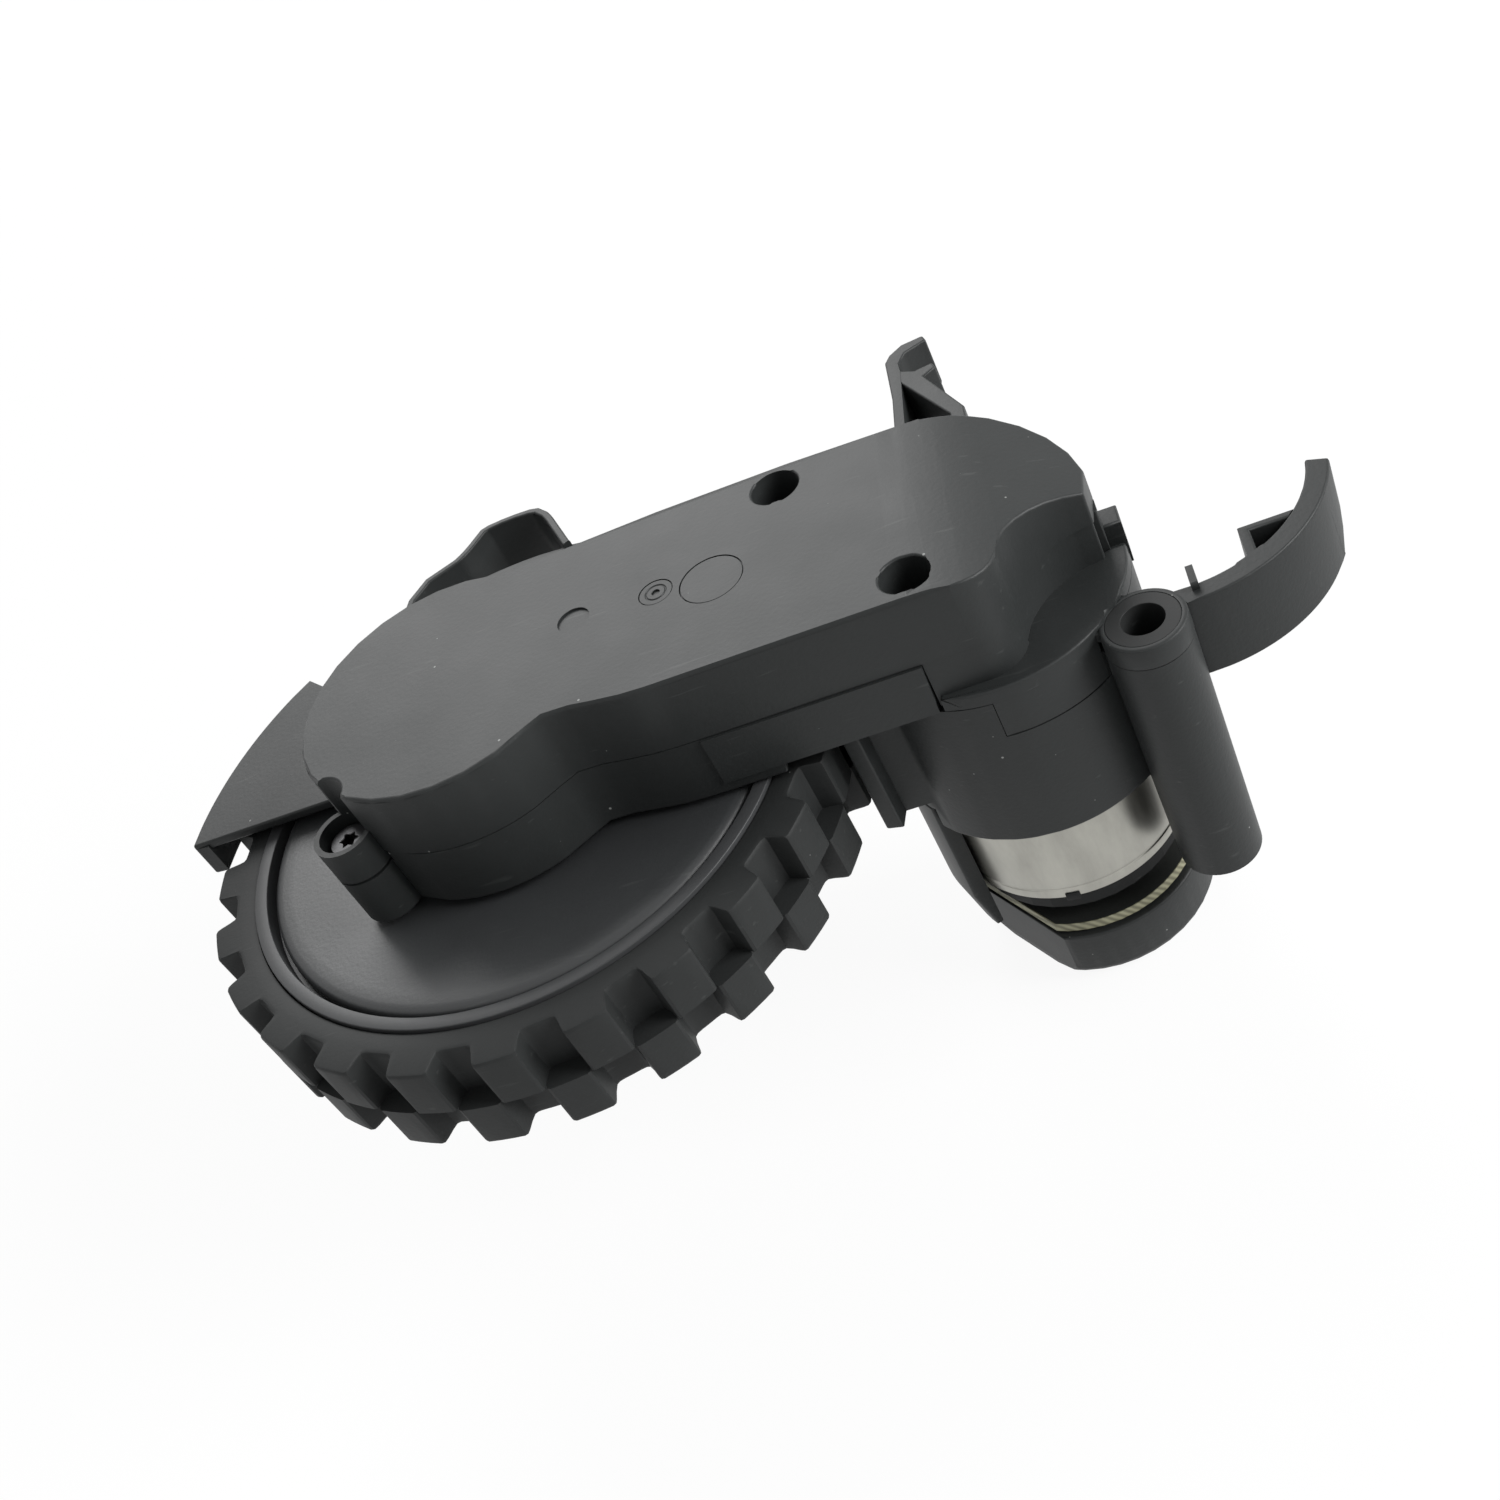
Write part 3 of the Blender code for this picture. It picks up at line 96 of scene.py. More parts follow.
def add(tree, kind, at=None, **settings):
    """Adds a node; at names its input sockets, each with a value or with a socket to link from."""
    node = tree.nodes.new(kind)
    for key, value in settings.items():
        setattr(node, key, value)
    for key, value in (at or {}).items():
        if isinstance(value, bpy.types.NodeSocket):
            tree.links.new(value, node.inputs[key])
        else:
            node.inputs[key].default_value = value
    return node


def seen_white(tree):
    """1 for rays from the lens and for those that a gloss or a glass sends on."""
    path = add(tree, "ShaderNodeLightPath").outputs
    shown = add(tree, "ShaderNodeMath", {0: path["Is Camera Ray"], 1: path["Is Glossy Ray"]},
                operation="MAXIMUM")
    return add(tree, "ShaderNodeMath", {0: shown.outputs[0], 1: path["Is Transmission Ray"]},
               operation="MAXIMUM").outputs[0]


TABLE_GAP = 0.15
TABLE_HALF = 3000.0
WHITE_SHARE = 0.92
ROOM_LEVEL = 0.35

# Matt white card: no shine, so that only the soft shadow is seen on it.
card = bpy.data.materials.new("white_card")
card.use_nodes = True
tree = card.node_tree
tree.nodes.clear()
matt = add(tree, "ShaderNodeBsdfDiffuse", {"Color": paint("#f2f2f2")})
bright = add(tree, "ShaderNodeEmission", {"Color": (1, 1, 1, 1), "Strength": 1.0})
share = add(tree, "ShaderNodeMath", {0: seen_white(tree), 1: WHITE_SHARE}, operation="MULTIPLY")
both = add(tree, "ShaderNodeMixShader", {0: share.outputs[0], 1: matt.outputs[0], 2: bright.outputs[0]})
add(tree, "ShaderNodeOutputMaterial", {"Surface": both.outputs[0]})
bm = bmesh.new()
table_z = min(corner[2] for corner in cad_box) - TABLE_GAP * MM
bmesh.ops.create_grid(bm, x_segments=8, y_segments=8, size=TABLE_HALF * MM,
                      matrix=Matrix.Translation((0, 0, table_z)))
sheet = bpy.data.meshes.new("table")
bm.to_mesh(sheet)
bm.free()
sheet.materials.append(card)
table = bpy.data.objects.new("table", sheet)
bpy.context.scene.collection.objects.link(table)

world = bpy.data.worlds.new("room")
bpy.context.scene.world = world
world.use_nodes = True
tree = world.node_tree
tree.nodes.clear()
room = add(tree, "ShaderNodeBackground", {"Color": (1, 1, 1, 1), "Strength": ROOM_LEVEL})
white = add(tree, "ShaderNodeBackground", {"Color": (1, 1, 1, 1), "Strength": 1.0})
both = add(tree, "ShaderNodeMixShader", {0: seen_white(tree), 1: room.outputs[0], 2: white.outputs[0]})
add(tree, "ShaderNodeOutputWorld", {"Surface": both.outputs[0]})


# Lamps: a wide window far behind the module, which draws the pale sheen over its top, and a smaller
# soft box to the right, which lifts the motor's side.
def lamp(name, place, toward, size, power):
    """A square soft box, aimed at a point of the module; places are in millimetres."""
    light = bpy.data.lights.new(name, "AREA")
    light.size = size * MM
    light.energy = power
    holder = bpy.data.objects.new(name, light)
    holder.location = [c * MM for c in place]
    holder.rotation_euler = (Vector(toward) - Vector(place)).to_track_quat("-Z", "Y").to_euler()
    bpy.context.scene.collection.objects.link(holder)


lamp("window_behind", place=(-360, 1115, 900), toward=(-40, 0, 0), size=900, power=13.8)
lamp("soft_box_right", place=(590, -100, 330), toward=(-10, 0, -10), size=380, power=6.8)


# Gearbox base: the black ABS half that carries everything: motor sleeve, pivot tube, wheel arch and arms
# in one moulding. Moulded edges have a radius of about a quarter of a millimetre. The lid sits on its
# rim, and its pad and its tongue's pocket close on the lid's flanks.
# Dust lies one speck to a cell of its net, at most; scuffs are strokes of one width, drawn out to ten
# times that along one direction, which is given in radians.
DUST_NET = 1.6
DUST_SHARP = 30.0
SCUFF_WIDTH = 0.7
SCUFF_TURN = 0.6
SCUFF_DRAWN = 0.1
GRAIN_DEPTH = 0.05


def middle(node):
    """The middle of a solid's box, in metres."""
    return sum(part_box(node), Vector()) / 2


def plastic(name, dark, light, rough, grain_mm, grain, specks, gloss=0.5, mottle_mm=9.0):
    """A moulded polymer: two close shades in clouds, a fine grain, faint scuffs, and dust that catches
    the light. The real grain is near a tenth of a millimetre; it is drawn coarser, so that it shows."""
    mat = bpy.data.materials.new(name)
    mat.use_nodes = True
    tree = mat.node_tree
    tree.nodes.clear()
    where = add(tree, "ShaderNodeTexCoord").outputs["Object"]
    cloud = add(tree, "ShaderNodeTexNoise", {
        "Vector": where, "Scale": 1 / (mottle_mm * MM), "Detail": 5.0, "Roughness": 0.6})
    shade = add(tree, "ShaderNodeMix", {0: cloud.outputs["Fac"], 6: paint(dark), 7: paint(light)},
                data_type="RGBA")
    # Dust: one speck in some of the cells of a net.
    cells = add(tree, "ShaderNodeTexVoronoi", {"Vector": where, "Scale": 1 / (DUST_NET * MM)})
    size = add(tree, "ShaderNodeSeparateColor", {0: cells.outputs["Color"]})
    some = add(tree, "ShaderNodeMath", {0: size.outputs[0], 1: 1.0 - specks},
               operation="SUBTRACT", use_clamp=True)
    reach = add(tree, "ShaderNodeMath", {0: some.outputs[0], 1: 0.5}, operation="MULTIPLY")
    near = add(tree, "ShaderNodeMath", {0: reach.outputs[0], 1: cells.outputs["Distance"]},
               operation="SUBTRACT")
    dust = add(tree, "ShaderNodeMath", {0: near.outputs[0], 1: DUST_SHARP},
               operation="MULTIPLY", use_clamp=True)
    # Scuffs: a few short pale strokes, cut out of a cloud that is drawn out along its own X.
    drawn = add(tree, "ShaderNodeMapping", {
        "Vector": where, "Rotation": (0.0, 0.0, SCUFF_TURN), "Scale": (SCUFF_DRAWN, 1.0, 1.0)})
    strokes = add(tree, "ShaderNodeTexNoise", {
        "Vector": drawn.outputs[0], "Scale": 1 / (SCUFF_WIDTH * MM), "Detail": 2.0})
    scuff = add(tree, "ShaderNodeMapRange", {
        "Value": strokes.outputs["Fac"], "From Min": 0.68, "From Max": 0.78, "To Max": 0.3})
    worn = add(tree, "ShaderNodeMix", {0: scuff.outputs[0], 6: shade.outputs[2], 7: paint("#4a4c4b")},
               data_type="RGBA")
    dusty = add(tree, "ShaderNodeMix", {0: dust.outputs[0], 6: worn.outputs[2], 7: paint("#858785")},
                data_type="RGBA")
    fine = add(tree, "ShaderNodeTexNoise", {"Vector": where, "Scale": 1 / (grain_mm * MM), "Detail": 2.0})
    bump = add(tree, "ShaderNodeBump", {
        "Height": fine.outputs["Fac"], "Strength": grain, "Distance": GRAIN_DEPTH * MM})
    haze = add(tree, "ShaderNodeMapRange", {
        "Value": cloud.outputs["Fac"], "To Min": rough - 0.06, "To Max": rough + 0.06})
    skin = add(tree, "ShaderNodeBsdfPrincipled", {
        "Base Color": dusty.outputs[2], "Roughness": haze.outputs[0], "Specular IOR Level": gloss,
        "IOR": 1.5, "Normal": bump.outputs[0]})
    add(tree, "ShaderNodeOutputMaterial", {"Surface": skin.outputs[0]})
    return mat


def hand_in(piece, body, slot, material, *stands_for):
    """Gives a piece its material, hides the solids it stands for and sets it on its body. The slot is not
    used.
    """
    piece.data.materials.clear()
    piece.data.materials.append(material)
    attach(piece, body)
    if stands_for:
        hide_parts(*stands_for)


# What an edge needs about it before it is rounded, in widths of the rounding. ALIKE is the cosine above
# which two edges count as running the same way.
SHORTEST_CROSSING = 1.6
NEAREST_SIDE = 3.0
NARROWEST_FACE = 1.3
ALIKE = 0.75


def has_room(edge, width):
    """Whether no other side of the two faces lies so near across the edge that rounding would meet it."""
    start, end = (vert.co for vert in edge.verts)
    centre = (start + end) / 2
    along = (end - start).normalized()
    for vert in edge.verts:
        for other in vert.link_edges:
            if other != edge and other.calc_length() < SHORTEST_CROSSING * width:
                if abs((other.other_vert(vert).co - vert.co).normalized().dot(along)) < ALIKE:
                    return False
    for face in edge.link_faces:
        for other in face.edges:
            if other == edge or set(other.verts) & set(edge.verts):
                continue
            near, far = (vert.co for vert in other.verts)
            side = far - near
            share = min(max((centre - near).dot(side) / side.length_squared, 0.0), 1.0)
            step = near + side * share - centre
            if step.length < NEAREST_SIDE * width and abs(step.dot(along)) < ALIKE * step.length:
                return False
        across = [vert.co - start for vert in face.verts]
        if max((step - along * step.dot(along)).length for step in across) < NARROWEST_FACE * width:
            return False
    return True


# A curved wall's facets turn by this many degrees; a long facet gets two corners, and others get one.
FACET_TURN = (3.0, 26.0)
LONG_FACET = 1.3
UPRIGHT = 0.999


def on_the_curve(bm):
    """Adds corners between the facets of curved upright walls and sets them out onto the curve."""
    turns = {}
    for edge in bm.edges:
        rise = (edge.verts[1].co - edge.verts[0].co).normalized().z
        if len(edge.link_faces) == 2 and abs(rise) > UPRIGHT:
            turn = edge.calc_face_angle_signed(0.0)
            if FACET_TURN[0] < math.degrees(abs(turn)) < FACET_TURN[1]:
                turns[edge] = turn
    spans = {}
    for face in bm.faces:
        sides = [e for e in face.edges if e in turns]
        if abs(face.normal.z) > 0.01 or len(sides) != 2 or len(face.verts) != 4:
            continue
        if turns[sides[0]] * turns[sides[1]] < 0:
            continue
        mean = (turns[sides[0]] + turns[sides[1]]) / 2
        for edge in [e for e in face.edges if e not in sides]:
            start, end = (vert.co for vert in edge.verts)
            if abs(end.z - start.z) < 1e-6:
                spans[edge] = (start.copy(), end.copy(), face.normal * edge.calc_length() * mean / 2)
    for cuts, least, most in ((1, 0.0, LONG_FACET), (2, LONG_FACET, math.inf)):
        marks = {e: m for e, m in spans.items() if least * MM <= (m[1] - m[0]).length < most * MM}
        made = bmesh.ops.subdivide_edges(bm, edges=list(marks), cuts=cuts)["geom_inner"]
        for vert in [g for g in made if isinstance(g, bmesh.types.BMVert)]:
            for start, end, out in marks.values():
                share = (vert.co - start).dot(end - start) / (end - start).length_squared
                if 0.2 < share < 0.8 and (start.lerp(end, share) - vert.co).length < 1e-7:
                    vert.co += out * share * (1.0 - share)
                    break


# Lengths in millimetres and angles in degrees.
MERGE = 0.002
FLAT_WITHIN = 0.6
CRISP = 38
SHADED_SHARP = 50
SEAM_REACH = 0.36


def softened(name, node, width, shape=None, beside=None):
    """A copy of a solid, shaped further if asked, with its crisp outer edges rounded, but for those that
    meet the solid beside it."""
    bm = bmesh.new()
    bm.from_mesh(nodes[node].data)
    bmesh.ops.remove_doubles(bm, verts=bm.verts, dist=MERGE * MM)
    bmesh.ops.dissolve_limit(bm, angle_limit=math.radians(FLAT_WITHIN), verts=bm.verts, edges=bm.edges,
                             delimit={"NORMAL"})
    on_the_curve(bm)
    if shape:
        shape(bm)
    for edge in bm.edges:
        edge.smooth = True
    steep = [e for e in bm.edges if len(e.link_faces) == 2
             and e.calc_face_angle_signed() > math.radians(CRISP) and has_room(e, width * MM)]
    if beside:
        mesh = nodes[beside].data
        other = BVHTree.FromPolygons([v.co for v in mesh.vertices], [p.vertices for p in mesh.polygons])
        steep = [e for e in steep
                 if other.find_nearest((e.verts[0].co + e.verts[1].co) / 2, SEAM_REACH * MM)[0] is None]
    bmesh.ops.bevel(bm, geom=steep, offset=width * MM, offset_type="OFFSET", segments=2, profile=0.5,
                    affect="EDGES", clamp_overlap=False, material=-1)
    low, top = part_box(node)
    for vert in bm.verts:
        vert.co = [min(max(c, a), b) for c, a, b in zip(vert.co, low, top)]
    mesh = bpy.data.meshes.new(name)
    bm.to_mesh(mesh)
    bm.free()
    # The solid's own stored normals don't fit the new faces.
    stale = mesh.attributes.get("custom_normal")
    if stale:
        mesh.attributes.remove(stale)
    mesh.shade_smooth()
    mesh.set_sharp_from_angle(angle=math.radians(SHADED_SHARP))
    piece = bpy.data.objects.new(name, mesh)
    bpy.context.scene.collection.objects.link(piece)
    even = piece.modifiers.new("flat_faces_stay_flat", "WEIGHTED_NORMAL")
    even.keep_sharp = True
    even.weight = 80
    return piece


MOTOR = middle("motor_can")
WITHIN = 0.02
CLOSED_BY = 0.2
RIM = 4.475
TUBE_TOP = -2.7
TUBE_REACH = 4.4
LEDGE = -1.4
LEDGE_REACH = (12.0, 15.0)
PAD_END = -19.7
# The pocket takes the lid's tongue. Its ends are turns about the motor, each with the turn it is moved
# by, in degrees; the rest are heights, and reaches from the motor's axis.
POCKET_ENDS = ((-95.2, 0.9), (-47.8, -0.9))
END_WITHIN = 0.25
POCKET_REACH = (12.0, 17.0)
POCKET_FLOOR = -5.8
POCKET_STEP = 14.6
POCKET_INNER = -5.6
POCKET_OUTER = -2.55


def close_seams(bm):
    """Brings the rim, the pad's end, the tube's top and the tongue's pocket to a hair line from the lid."""
    for vert in bm.verts:
        x, y, z = (c / MM for c in vert.co)
        from_motor = vert.co.xy - MOTOR.xy
        reach = from_motor.length / MM
        if abs(z - RIM) < 2 * WITHIN or abs(z - TUBE_TOP) < WITHIN and math.hypot(x, y) < TUBE_REACH:
            vert.co.z += CLOSED_BY * MM
        if abs(z - LEDGE) < WITHIN and LEDGE_REACH[0] < reach < LEDGE_REACH[1]:
            vert.co.z += CLOSED_BY * MM
        if abs(x - PAD_END) < WITHIN and y < 0.0:
            vert.co.x += CLOSED_BY * MM
        if POCKET_FLOOR - 0.1 < z < -0.1 and POCKET_REACH[0] < reach < POCKET_REACH[1]:
            turn = math.degrees(math.atan2(from_motor.y, from_motor.x))
            shift = sum(by for end, by in POCKET_ENDS if abs(turn - end) < END_WITHIN)
            vert.co.xy = MOTOR.xy + Matrix.Rotation(math.radians(shift), 2) @ from_motor
            if abs(z - POCKET_FLOOR) < WITHIN:
                vert.co.z = (POCKET_OUTER if reach > POCKET_STEP else POCKET_INNER) * MM


# Black ABS off a spark-eroded tool: matt and near neutral, its grain breaks up the highlight.
base_plastic = plastic("moulded_black_abs", "#212323", "#292b2b", rough=0.48, grain_mm=0.45, grain=0.4,
                       specks=0.2, gloss=0.25)
hand_in(softened("base_moulding", "gearbox_base", 0.25, close_seams, "gearbox_cover"),
        "body", "abs_base", base_plastic, "gearbox_base")


# Pivot bushes: two flanged bushes of black acetal, pressed into the ends of the pivot tube until their
# flanges lie nearly flush. The chassis's pin runs in them.
def new_piece(name, bm, smooth=35):
    """Makes a piece from a finished bmesh; edges steeper than smooth stay crisp."""
    bmesh.ops.remove_doubles(bm, verts=bm.verts, dist=1e-7)
    bmesh.ops.recalc_face_normals(bm, faces=bm.faces)
    mesh = bpy.data.meshes.new(name)
    bm.to_mesh(mesh)
    bm.free()
    mesh.shade_smooth()
    mesh.set_sharp_from_angle(angle=math.radians(smooth))
    piece = bpy.data.objects.new(name, mesh)
    bpy.context.scene.collection.objects.link(piece)
    return piece


def turned(profile, sides, at, edge, steeper=35):
    """A turned piece from its closed half section, points of (radius, height) in millimetres, spun about
    an upright axis; its edges steeper than the angle are rounded by edge."""
    bm = bmesh.new()
    verts = [bm.verts.new((r * MM, 0, z * MM)) for r, z in profile]
    line = [bm.edges.new(pair) for pair in zip(verts, verts[1:] + verts[:1])]
    bmesh.ops.spin(bm, geom=verts + line, axis=(0, 0, 1), cent=(0, 0, 0), angle=math.tau, steps=sides,
                   use_merge=True)
    bmesh.ops.remove_doubles(bm, verts=bm.verts, dist=1e-7)
    bmesh.ops.translate(bm, vec=(at[0], at[1], 0), verts=bm.verts)
    bmesh.ops.recalc_face_normals(bm, faces=bm.faces)
    steep = [e for e in bm.edges if len(e.link_faces) == 2 and e.calc_face_angle() > math.radians(steeper)]
    bmesh.ops.bevel(bm, geom=steep, offset=edge * MM, offset_type="OFFSET", segments=3, profile=0.5,
                    affect="EDGES", clamp_overlap=True, material=-1)
    return bm


FLANGE_WALL = 1.2
FLANGE_EXTRA = 0.24
FLANGE_THICK = 0.8
SLEEVE_WALL = 0.6
PROUD = 0.09

# Black acetal: darker than the tube and slick, so the bore's rim shows as a thin dark ring.
bush_plastic = plastic("moulded_black_acetal", "#1f2020", "#262727", rough=0.5, grain_mm=0.4, grain=0.15,
                       specks=0.04, gloss=0.2)
for node, outward in (("pivot_bush_top", 1), ("pivot_bush_bottom", -1)):
    low, top = (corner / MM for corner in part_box(node))
    face, end = (top.z, low.z) if outward > 0 else (low.z, top.z)
    solid_r = (top.x - low.x) / 2
    bore_r = solid_r - FLANGE_WALL
    flange_r = solid_r + FLANGE_EXTRA
    sleeve_r = bore_r + SLEEVE_WALL
    flush = face + outward * PROUD
    under = face - outward * FLANGE_THICK
    profile = [(bore_r, flush), (bore_r + 0.15, flush), (flange_r - 0.12, flush), (flange_r, flush),
               (flange_r, under), (sleeve_r, under), (sleeve_r, end), (bore_r, end)]
    hand_in(new_piece(node + "_turned", turned(profile, 64, middle(node), 0.05)),
            "body", "bell", bush_plastic, node)


# Motor: a drawn and plated steel can of 24.4 mm, closed by a black end bell, with a brass pinion on its
# shaft and the encoder's magnet on its tail. Two screws through the base's floor hold it in the sleeve.
def metal(name, dark, light, rough, streak, streak_mm=6.0):
    """A drawn or plated metal: two close shades in streaks along its axis, and a faint haze."""
    mat = bpy.data.materials.new(name)
    mat.use_nodes = True
    tree = mat.node_tree
    tree.nodes.clear()
    where = add(tree, "ShaderNodeTexCoord").outputs["Object"]
    place = add(tree, "ShaderNodeMapping", {"Vector": where, "Scale": (1.0, 1.0, streak)})
    cloud = add(tree, "ShaderNodeTexNoise", {
        "Vector": place.outputs[0], "Scale": 1 / (streak_mm * MM), "Detail": 6.0, "Roughness": 0.65})
    shade = add(tree, "ShaderNodeMix", {0: cloud.outputs["Fac"], 6: paint(dark), 7: paint(light)},
                data_type="RGBA")
    fine = add(tree, "ShaderNodeTexNoise", {
        "Vector": place.outputs[0], "Scale": 1 / (0.5 * MM), "Detail": 3.0})
    bump = add(tree, "ShaderNodeBump", {
        "Height": fine.outputs["Fac"], "Strength": 0.12, "Distance": GRAIN_DEPTH * MM})
    haze = add(tree, "ShaderNodeMapRange", {
        "Value": cloud.outputs["Fac"], "To Min": rough - 0.07, "To Max": rough + 0.09})
    skin = add(tree, "ShaderNodeBsdfPrincipled", {
        "Base Color": shade.outputs[2], "Metallic": 1.0, "Roughness": haze.outputs[0],
        "Normal": bump.outputs[0]})
    add(tree, "ShaderNodeOutputMaterial", {"Surface": skin.outputs[0]})
    return mat


def dress(material, *names):
    """Gives solids that keep their shape a material."""
    for name in names:
        nodes[name].data.materials.clear()
        nodes[name].data.materials.append(material)


CAN_DRAWN = 0.9
CAN_GROOVE = (1.35, 1.45, 1.65, 1.75)
CAN_GROOVE_DEPTH = 0.1
CAN_ROLLED = 1.1
SHAFT_HOLE = 1.3

# Zinc-plated steel: a soft grey mirror with faint streaks down the can and a warm haze.
plated_steel = metal("plated_steel_can", "#85847e", "#b9b8b0", rough=0.34, streak=0.3, streak_mm=3.0)
low, top = (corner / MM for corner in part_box("motor_can"))
can_r = (top.x - low.x) / 2
groove = [(can_r - depth, low.z + lift)
          for depth, lift in zip((0.0, CAN_GROOVE_DEPTH, CAN_GROOVE_DEPTH, 0.0), reversed(CAN_GROOVE))]
profile = [(SHAFT_HOLE, top.z), (can_r - CAN_DRAWN, top.z), (can_r - CAN_DRAWN / 3, top.z - CAN_DRAWN / 3),
           (can_r, top.z - CAN_DRAWN), *groove, (can_r, low.z + 0.35), (can_r - 0.35, low.z),
           (can_r - CAN_ROLLED, low.z), (can_r - CAN_ROLLED, low.z + 0.8), (SHAFT_HOLE, low.z + 0.8)]
hand_in(new_piece("can_shell", turned(profile, 128, MOTOR, 0.06, steeper=30)),
        "body", "can_steel", plated_steel, "motor_can")

# Glass-filled nylon: dull and nearly black, so the bell reads as a shadow under the bright can.
bell_plastic = plastic("moulded_black_nylon", "#141515", "#1b1c1c", rough=0.55, grain_mm=0.5, grain=0.3,
                       specks=0.05, gloss=0.15)
# Sintered ferrite: dark grey and grainy, with no shine.
ferrite = plastic("sintered_ferrite", "#2a2a2c", "#333336", rough=0.55, grain_mm=0.35, grain=0.5, specks=0.02)
# Ground steel: bright, with fine lines along the pin.
ground_steel = metal("ground_steel", "#b5b5b5", "#c9c9c9", rough=0.25, streak=0.1)
# Turned brass: a warm yellow metal with a soft shine.
turned_brass = metal("turned_brass", "#b08d45", "#c8a65a", rough=0.32, streak=0.2)
dress(bell_plastic, "motor_end_bell")
dress(ferrite, "encoder_magnet")
dress(ground_steel, "motor_shaft", "motor_screw_front", "motor_screw_rear")
dress(turned_brass, "motor_pinion", "motor_terminal_left", "motor_terminal_right")

# A tongue of the end bell, bent up over the can's rim.
TONGUE = (1.5, 0.5, 1.1)
TONGUE_TURN = math.radians(-98.0)
TONGUE_R = 12.1
TONGUE_LIFT = 0.4
bm = bmesh.new()
bmesh.ops.create_cube(bm, size=1.0)
bmesh.ops.scale(bm, vec=[side * MM for side in TONGUE], verts=bm.verts)
bmesh.ops.bevel(bm, geom=bm.edges[:], offset=0.12 * MM, offset_type="OFFSET", segments=2, profile=0.5,
                affect="EDGES", clamp_overlap=True, material=-1)
bmesh.ops.rotate(bm, cent=(0, 0, 0), matrix=Matrix.Rotation(TONGUE_TURN + math.pi / 2, 3, "Z"),
                 verts=bm.verts)
bmesh.ops.translate(bm, vec=(MOTOR.x + TONGUE_R * MM * math.cos(TONGUE_TURN),
                             MOTOR.y + TONGUE_R * MM * math.sin(TONGUE_TURN),
                             (low.z + TONGUE_LIFT) * MM), verts=bm.verts)
hand_in(new_piece("bell_tongue", bm), "body", "bell", bell_plastic)


# Board: a round encoder board of glass-filled resin that lies in the rear cap, its sawn edge pale and
# its faces dark. It carries the sensor and a white nylon socket for the lead.
BOARD_FLAT = 10.28
BOARD_FLAT_TURN = math.radians(216.0)
BOARD_EDGE = 0.12
THREAD = 0.55

# Glass epoxy: pale and chalky where it is sawn, with its weave as slanting threads. The real threads
# are about 0.2 mm apart; they are drawn coarser, so that they show.
board_resin = plastic("glass_epoxy_board", "#8c8a70", "#a6a58c", rough=0.6, grain_mm=0.35, grain=0.6,
                      specks=0.05, mottle_mm=0.9)
tree = board_resin.node_tree
skin = next(node for node in tree.nodes if node.type == "BSDF_PRINCIPLED")
pale = skin.inputs["Base Color"].links[0].from_socket
where = add(tree, "ShaderNodeTexCoord").outputs["Object"]
centred = add(tree, "ShaderNodeMapping", {"Vector": where, "Location": (-MOTOR.x, -MOTOR.y, 0.0)})
level = add(tree, "ShaderNodeVectorMath", {0: centred.outputs[0], 1: (1.0, 1.0, 0.0)}, operation="MULTIPLY")
reach = add(tree, "ShaderNodeVectorMath", {0: level.outputs[0]}, operation="LENGTH")
toward_flat = (math.cos(BOARD_FLAT_TURN), math.sin(BOARD_FLAT_TURN), 0.0)
side = add(tree, "ShaderNodeVectorMath", {0: level.outputs[0], 1: toward_flat}, operation="DOT_PRODUCT")
low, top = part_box("motor_board")
board_r = (top.x - low.x) / 2
round_in = add(tree, "ShaderNodeMath", {0: reach.outputs["Value"], 1: board_r - BOARD_EDGE * MM},
               operation="LESS_THAN")
flat_in = add(tree, "ShaderNodeMath", {0: side.outputs["Value"], 1: BOARD_FLAT * MM}, operation="LESS_THAN")
masked = add(tree, "ShaderNodeMath", {0: round_in.outputs[0], 1: flat_in.outputs[0]}, operation="MULTIPLY")
threads = add(tree, "ShaderNodeTexWave", {
    "Vector": where, "Scale": 0.314 / (THREAD * MM), "Distortion": 1.5, "Detail": 2.0},
    bands_direction="DIAGONAL")
woven = add(tree, "ShaderNodeMix", {0: threads.outputs["Fac"], 6: paint("#6a6854"), 7: pale},
            data_type="RGBA")
tint = add(tree, "ShaderNodeMix", {0: masked.outputs[0], 6: woven.outputs[2], 7: paint("#161816")},
           data_type="RGBA")
tree.links.new(tint.outputs[2], skin.inputs["Base Color"])
dress(board_resin, "motor_board")
dress(bell_plastic, "encoder_sensor")
# Natural nylon: warm white and slightly waxy.
nylon = plastic("moulded_natural_nylon", "#d9d6ca", "#e2e0d6", rough=0.5, grain_mm=0.4, grain=0.15,
                specks=0.02)
hand_in(softened("socket_shell", "board_connector", 0.12), "body", "connector", nylon, "board_connector")


# Rear cap: a cup of the base's black ABS that clips over the board, with one flat side and an arm up
# the side of the can. Its edges are rounder than the base's.
hand_in(softened("rear_cap_moulding", "motor_rear_cap", 0.3),
        "body", "abs_base", base_plastic, "motor_rear_cap")


# Gear train: white acetal compound gears on steel pins, hidden in the gearbox between the motor's pinion
# and the wheel's axle, which runs in a steel bearing and a brass bush.

# Natural acetal: a milky white with a slick, even shine.
acetal = plastic("moulded_acetal", "#d6d4cc", "#e0ded6", rough=0.4, grain_mm=0.4, grain=0.1, specks=0.02)
dress(acetal, "gear_1", "gear_2", "gear_3", "output_gear")
dress(ground_steel, "wheel_axle", "gear_pin_1", "gear_pin_2", "gear_pin_3", "axle_bearing")
dress(turned_brass, "axle_bush")


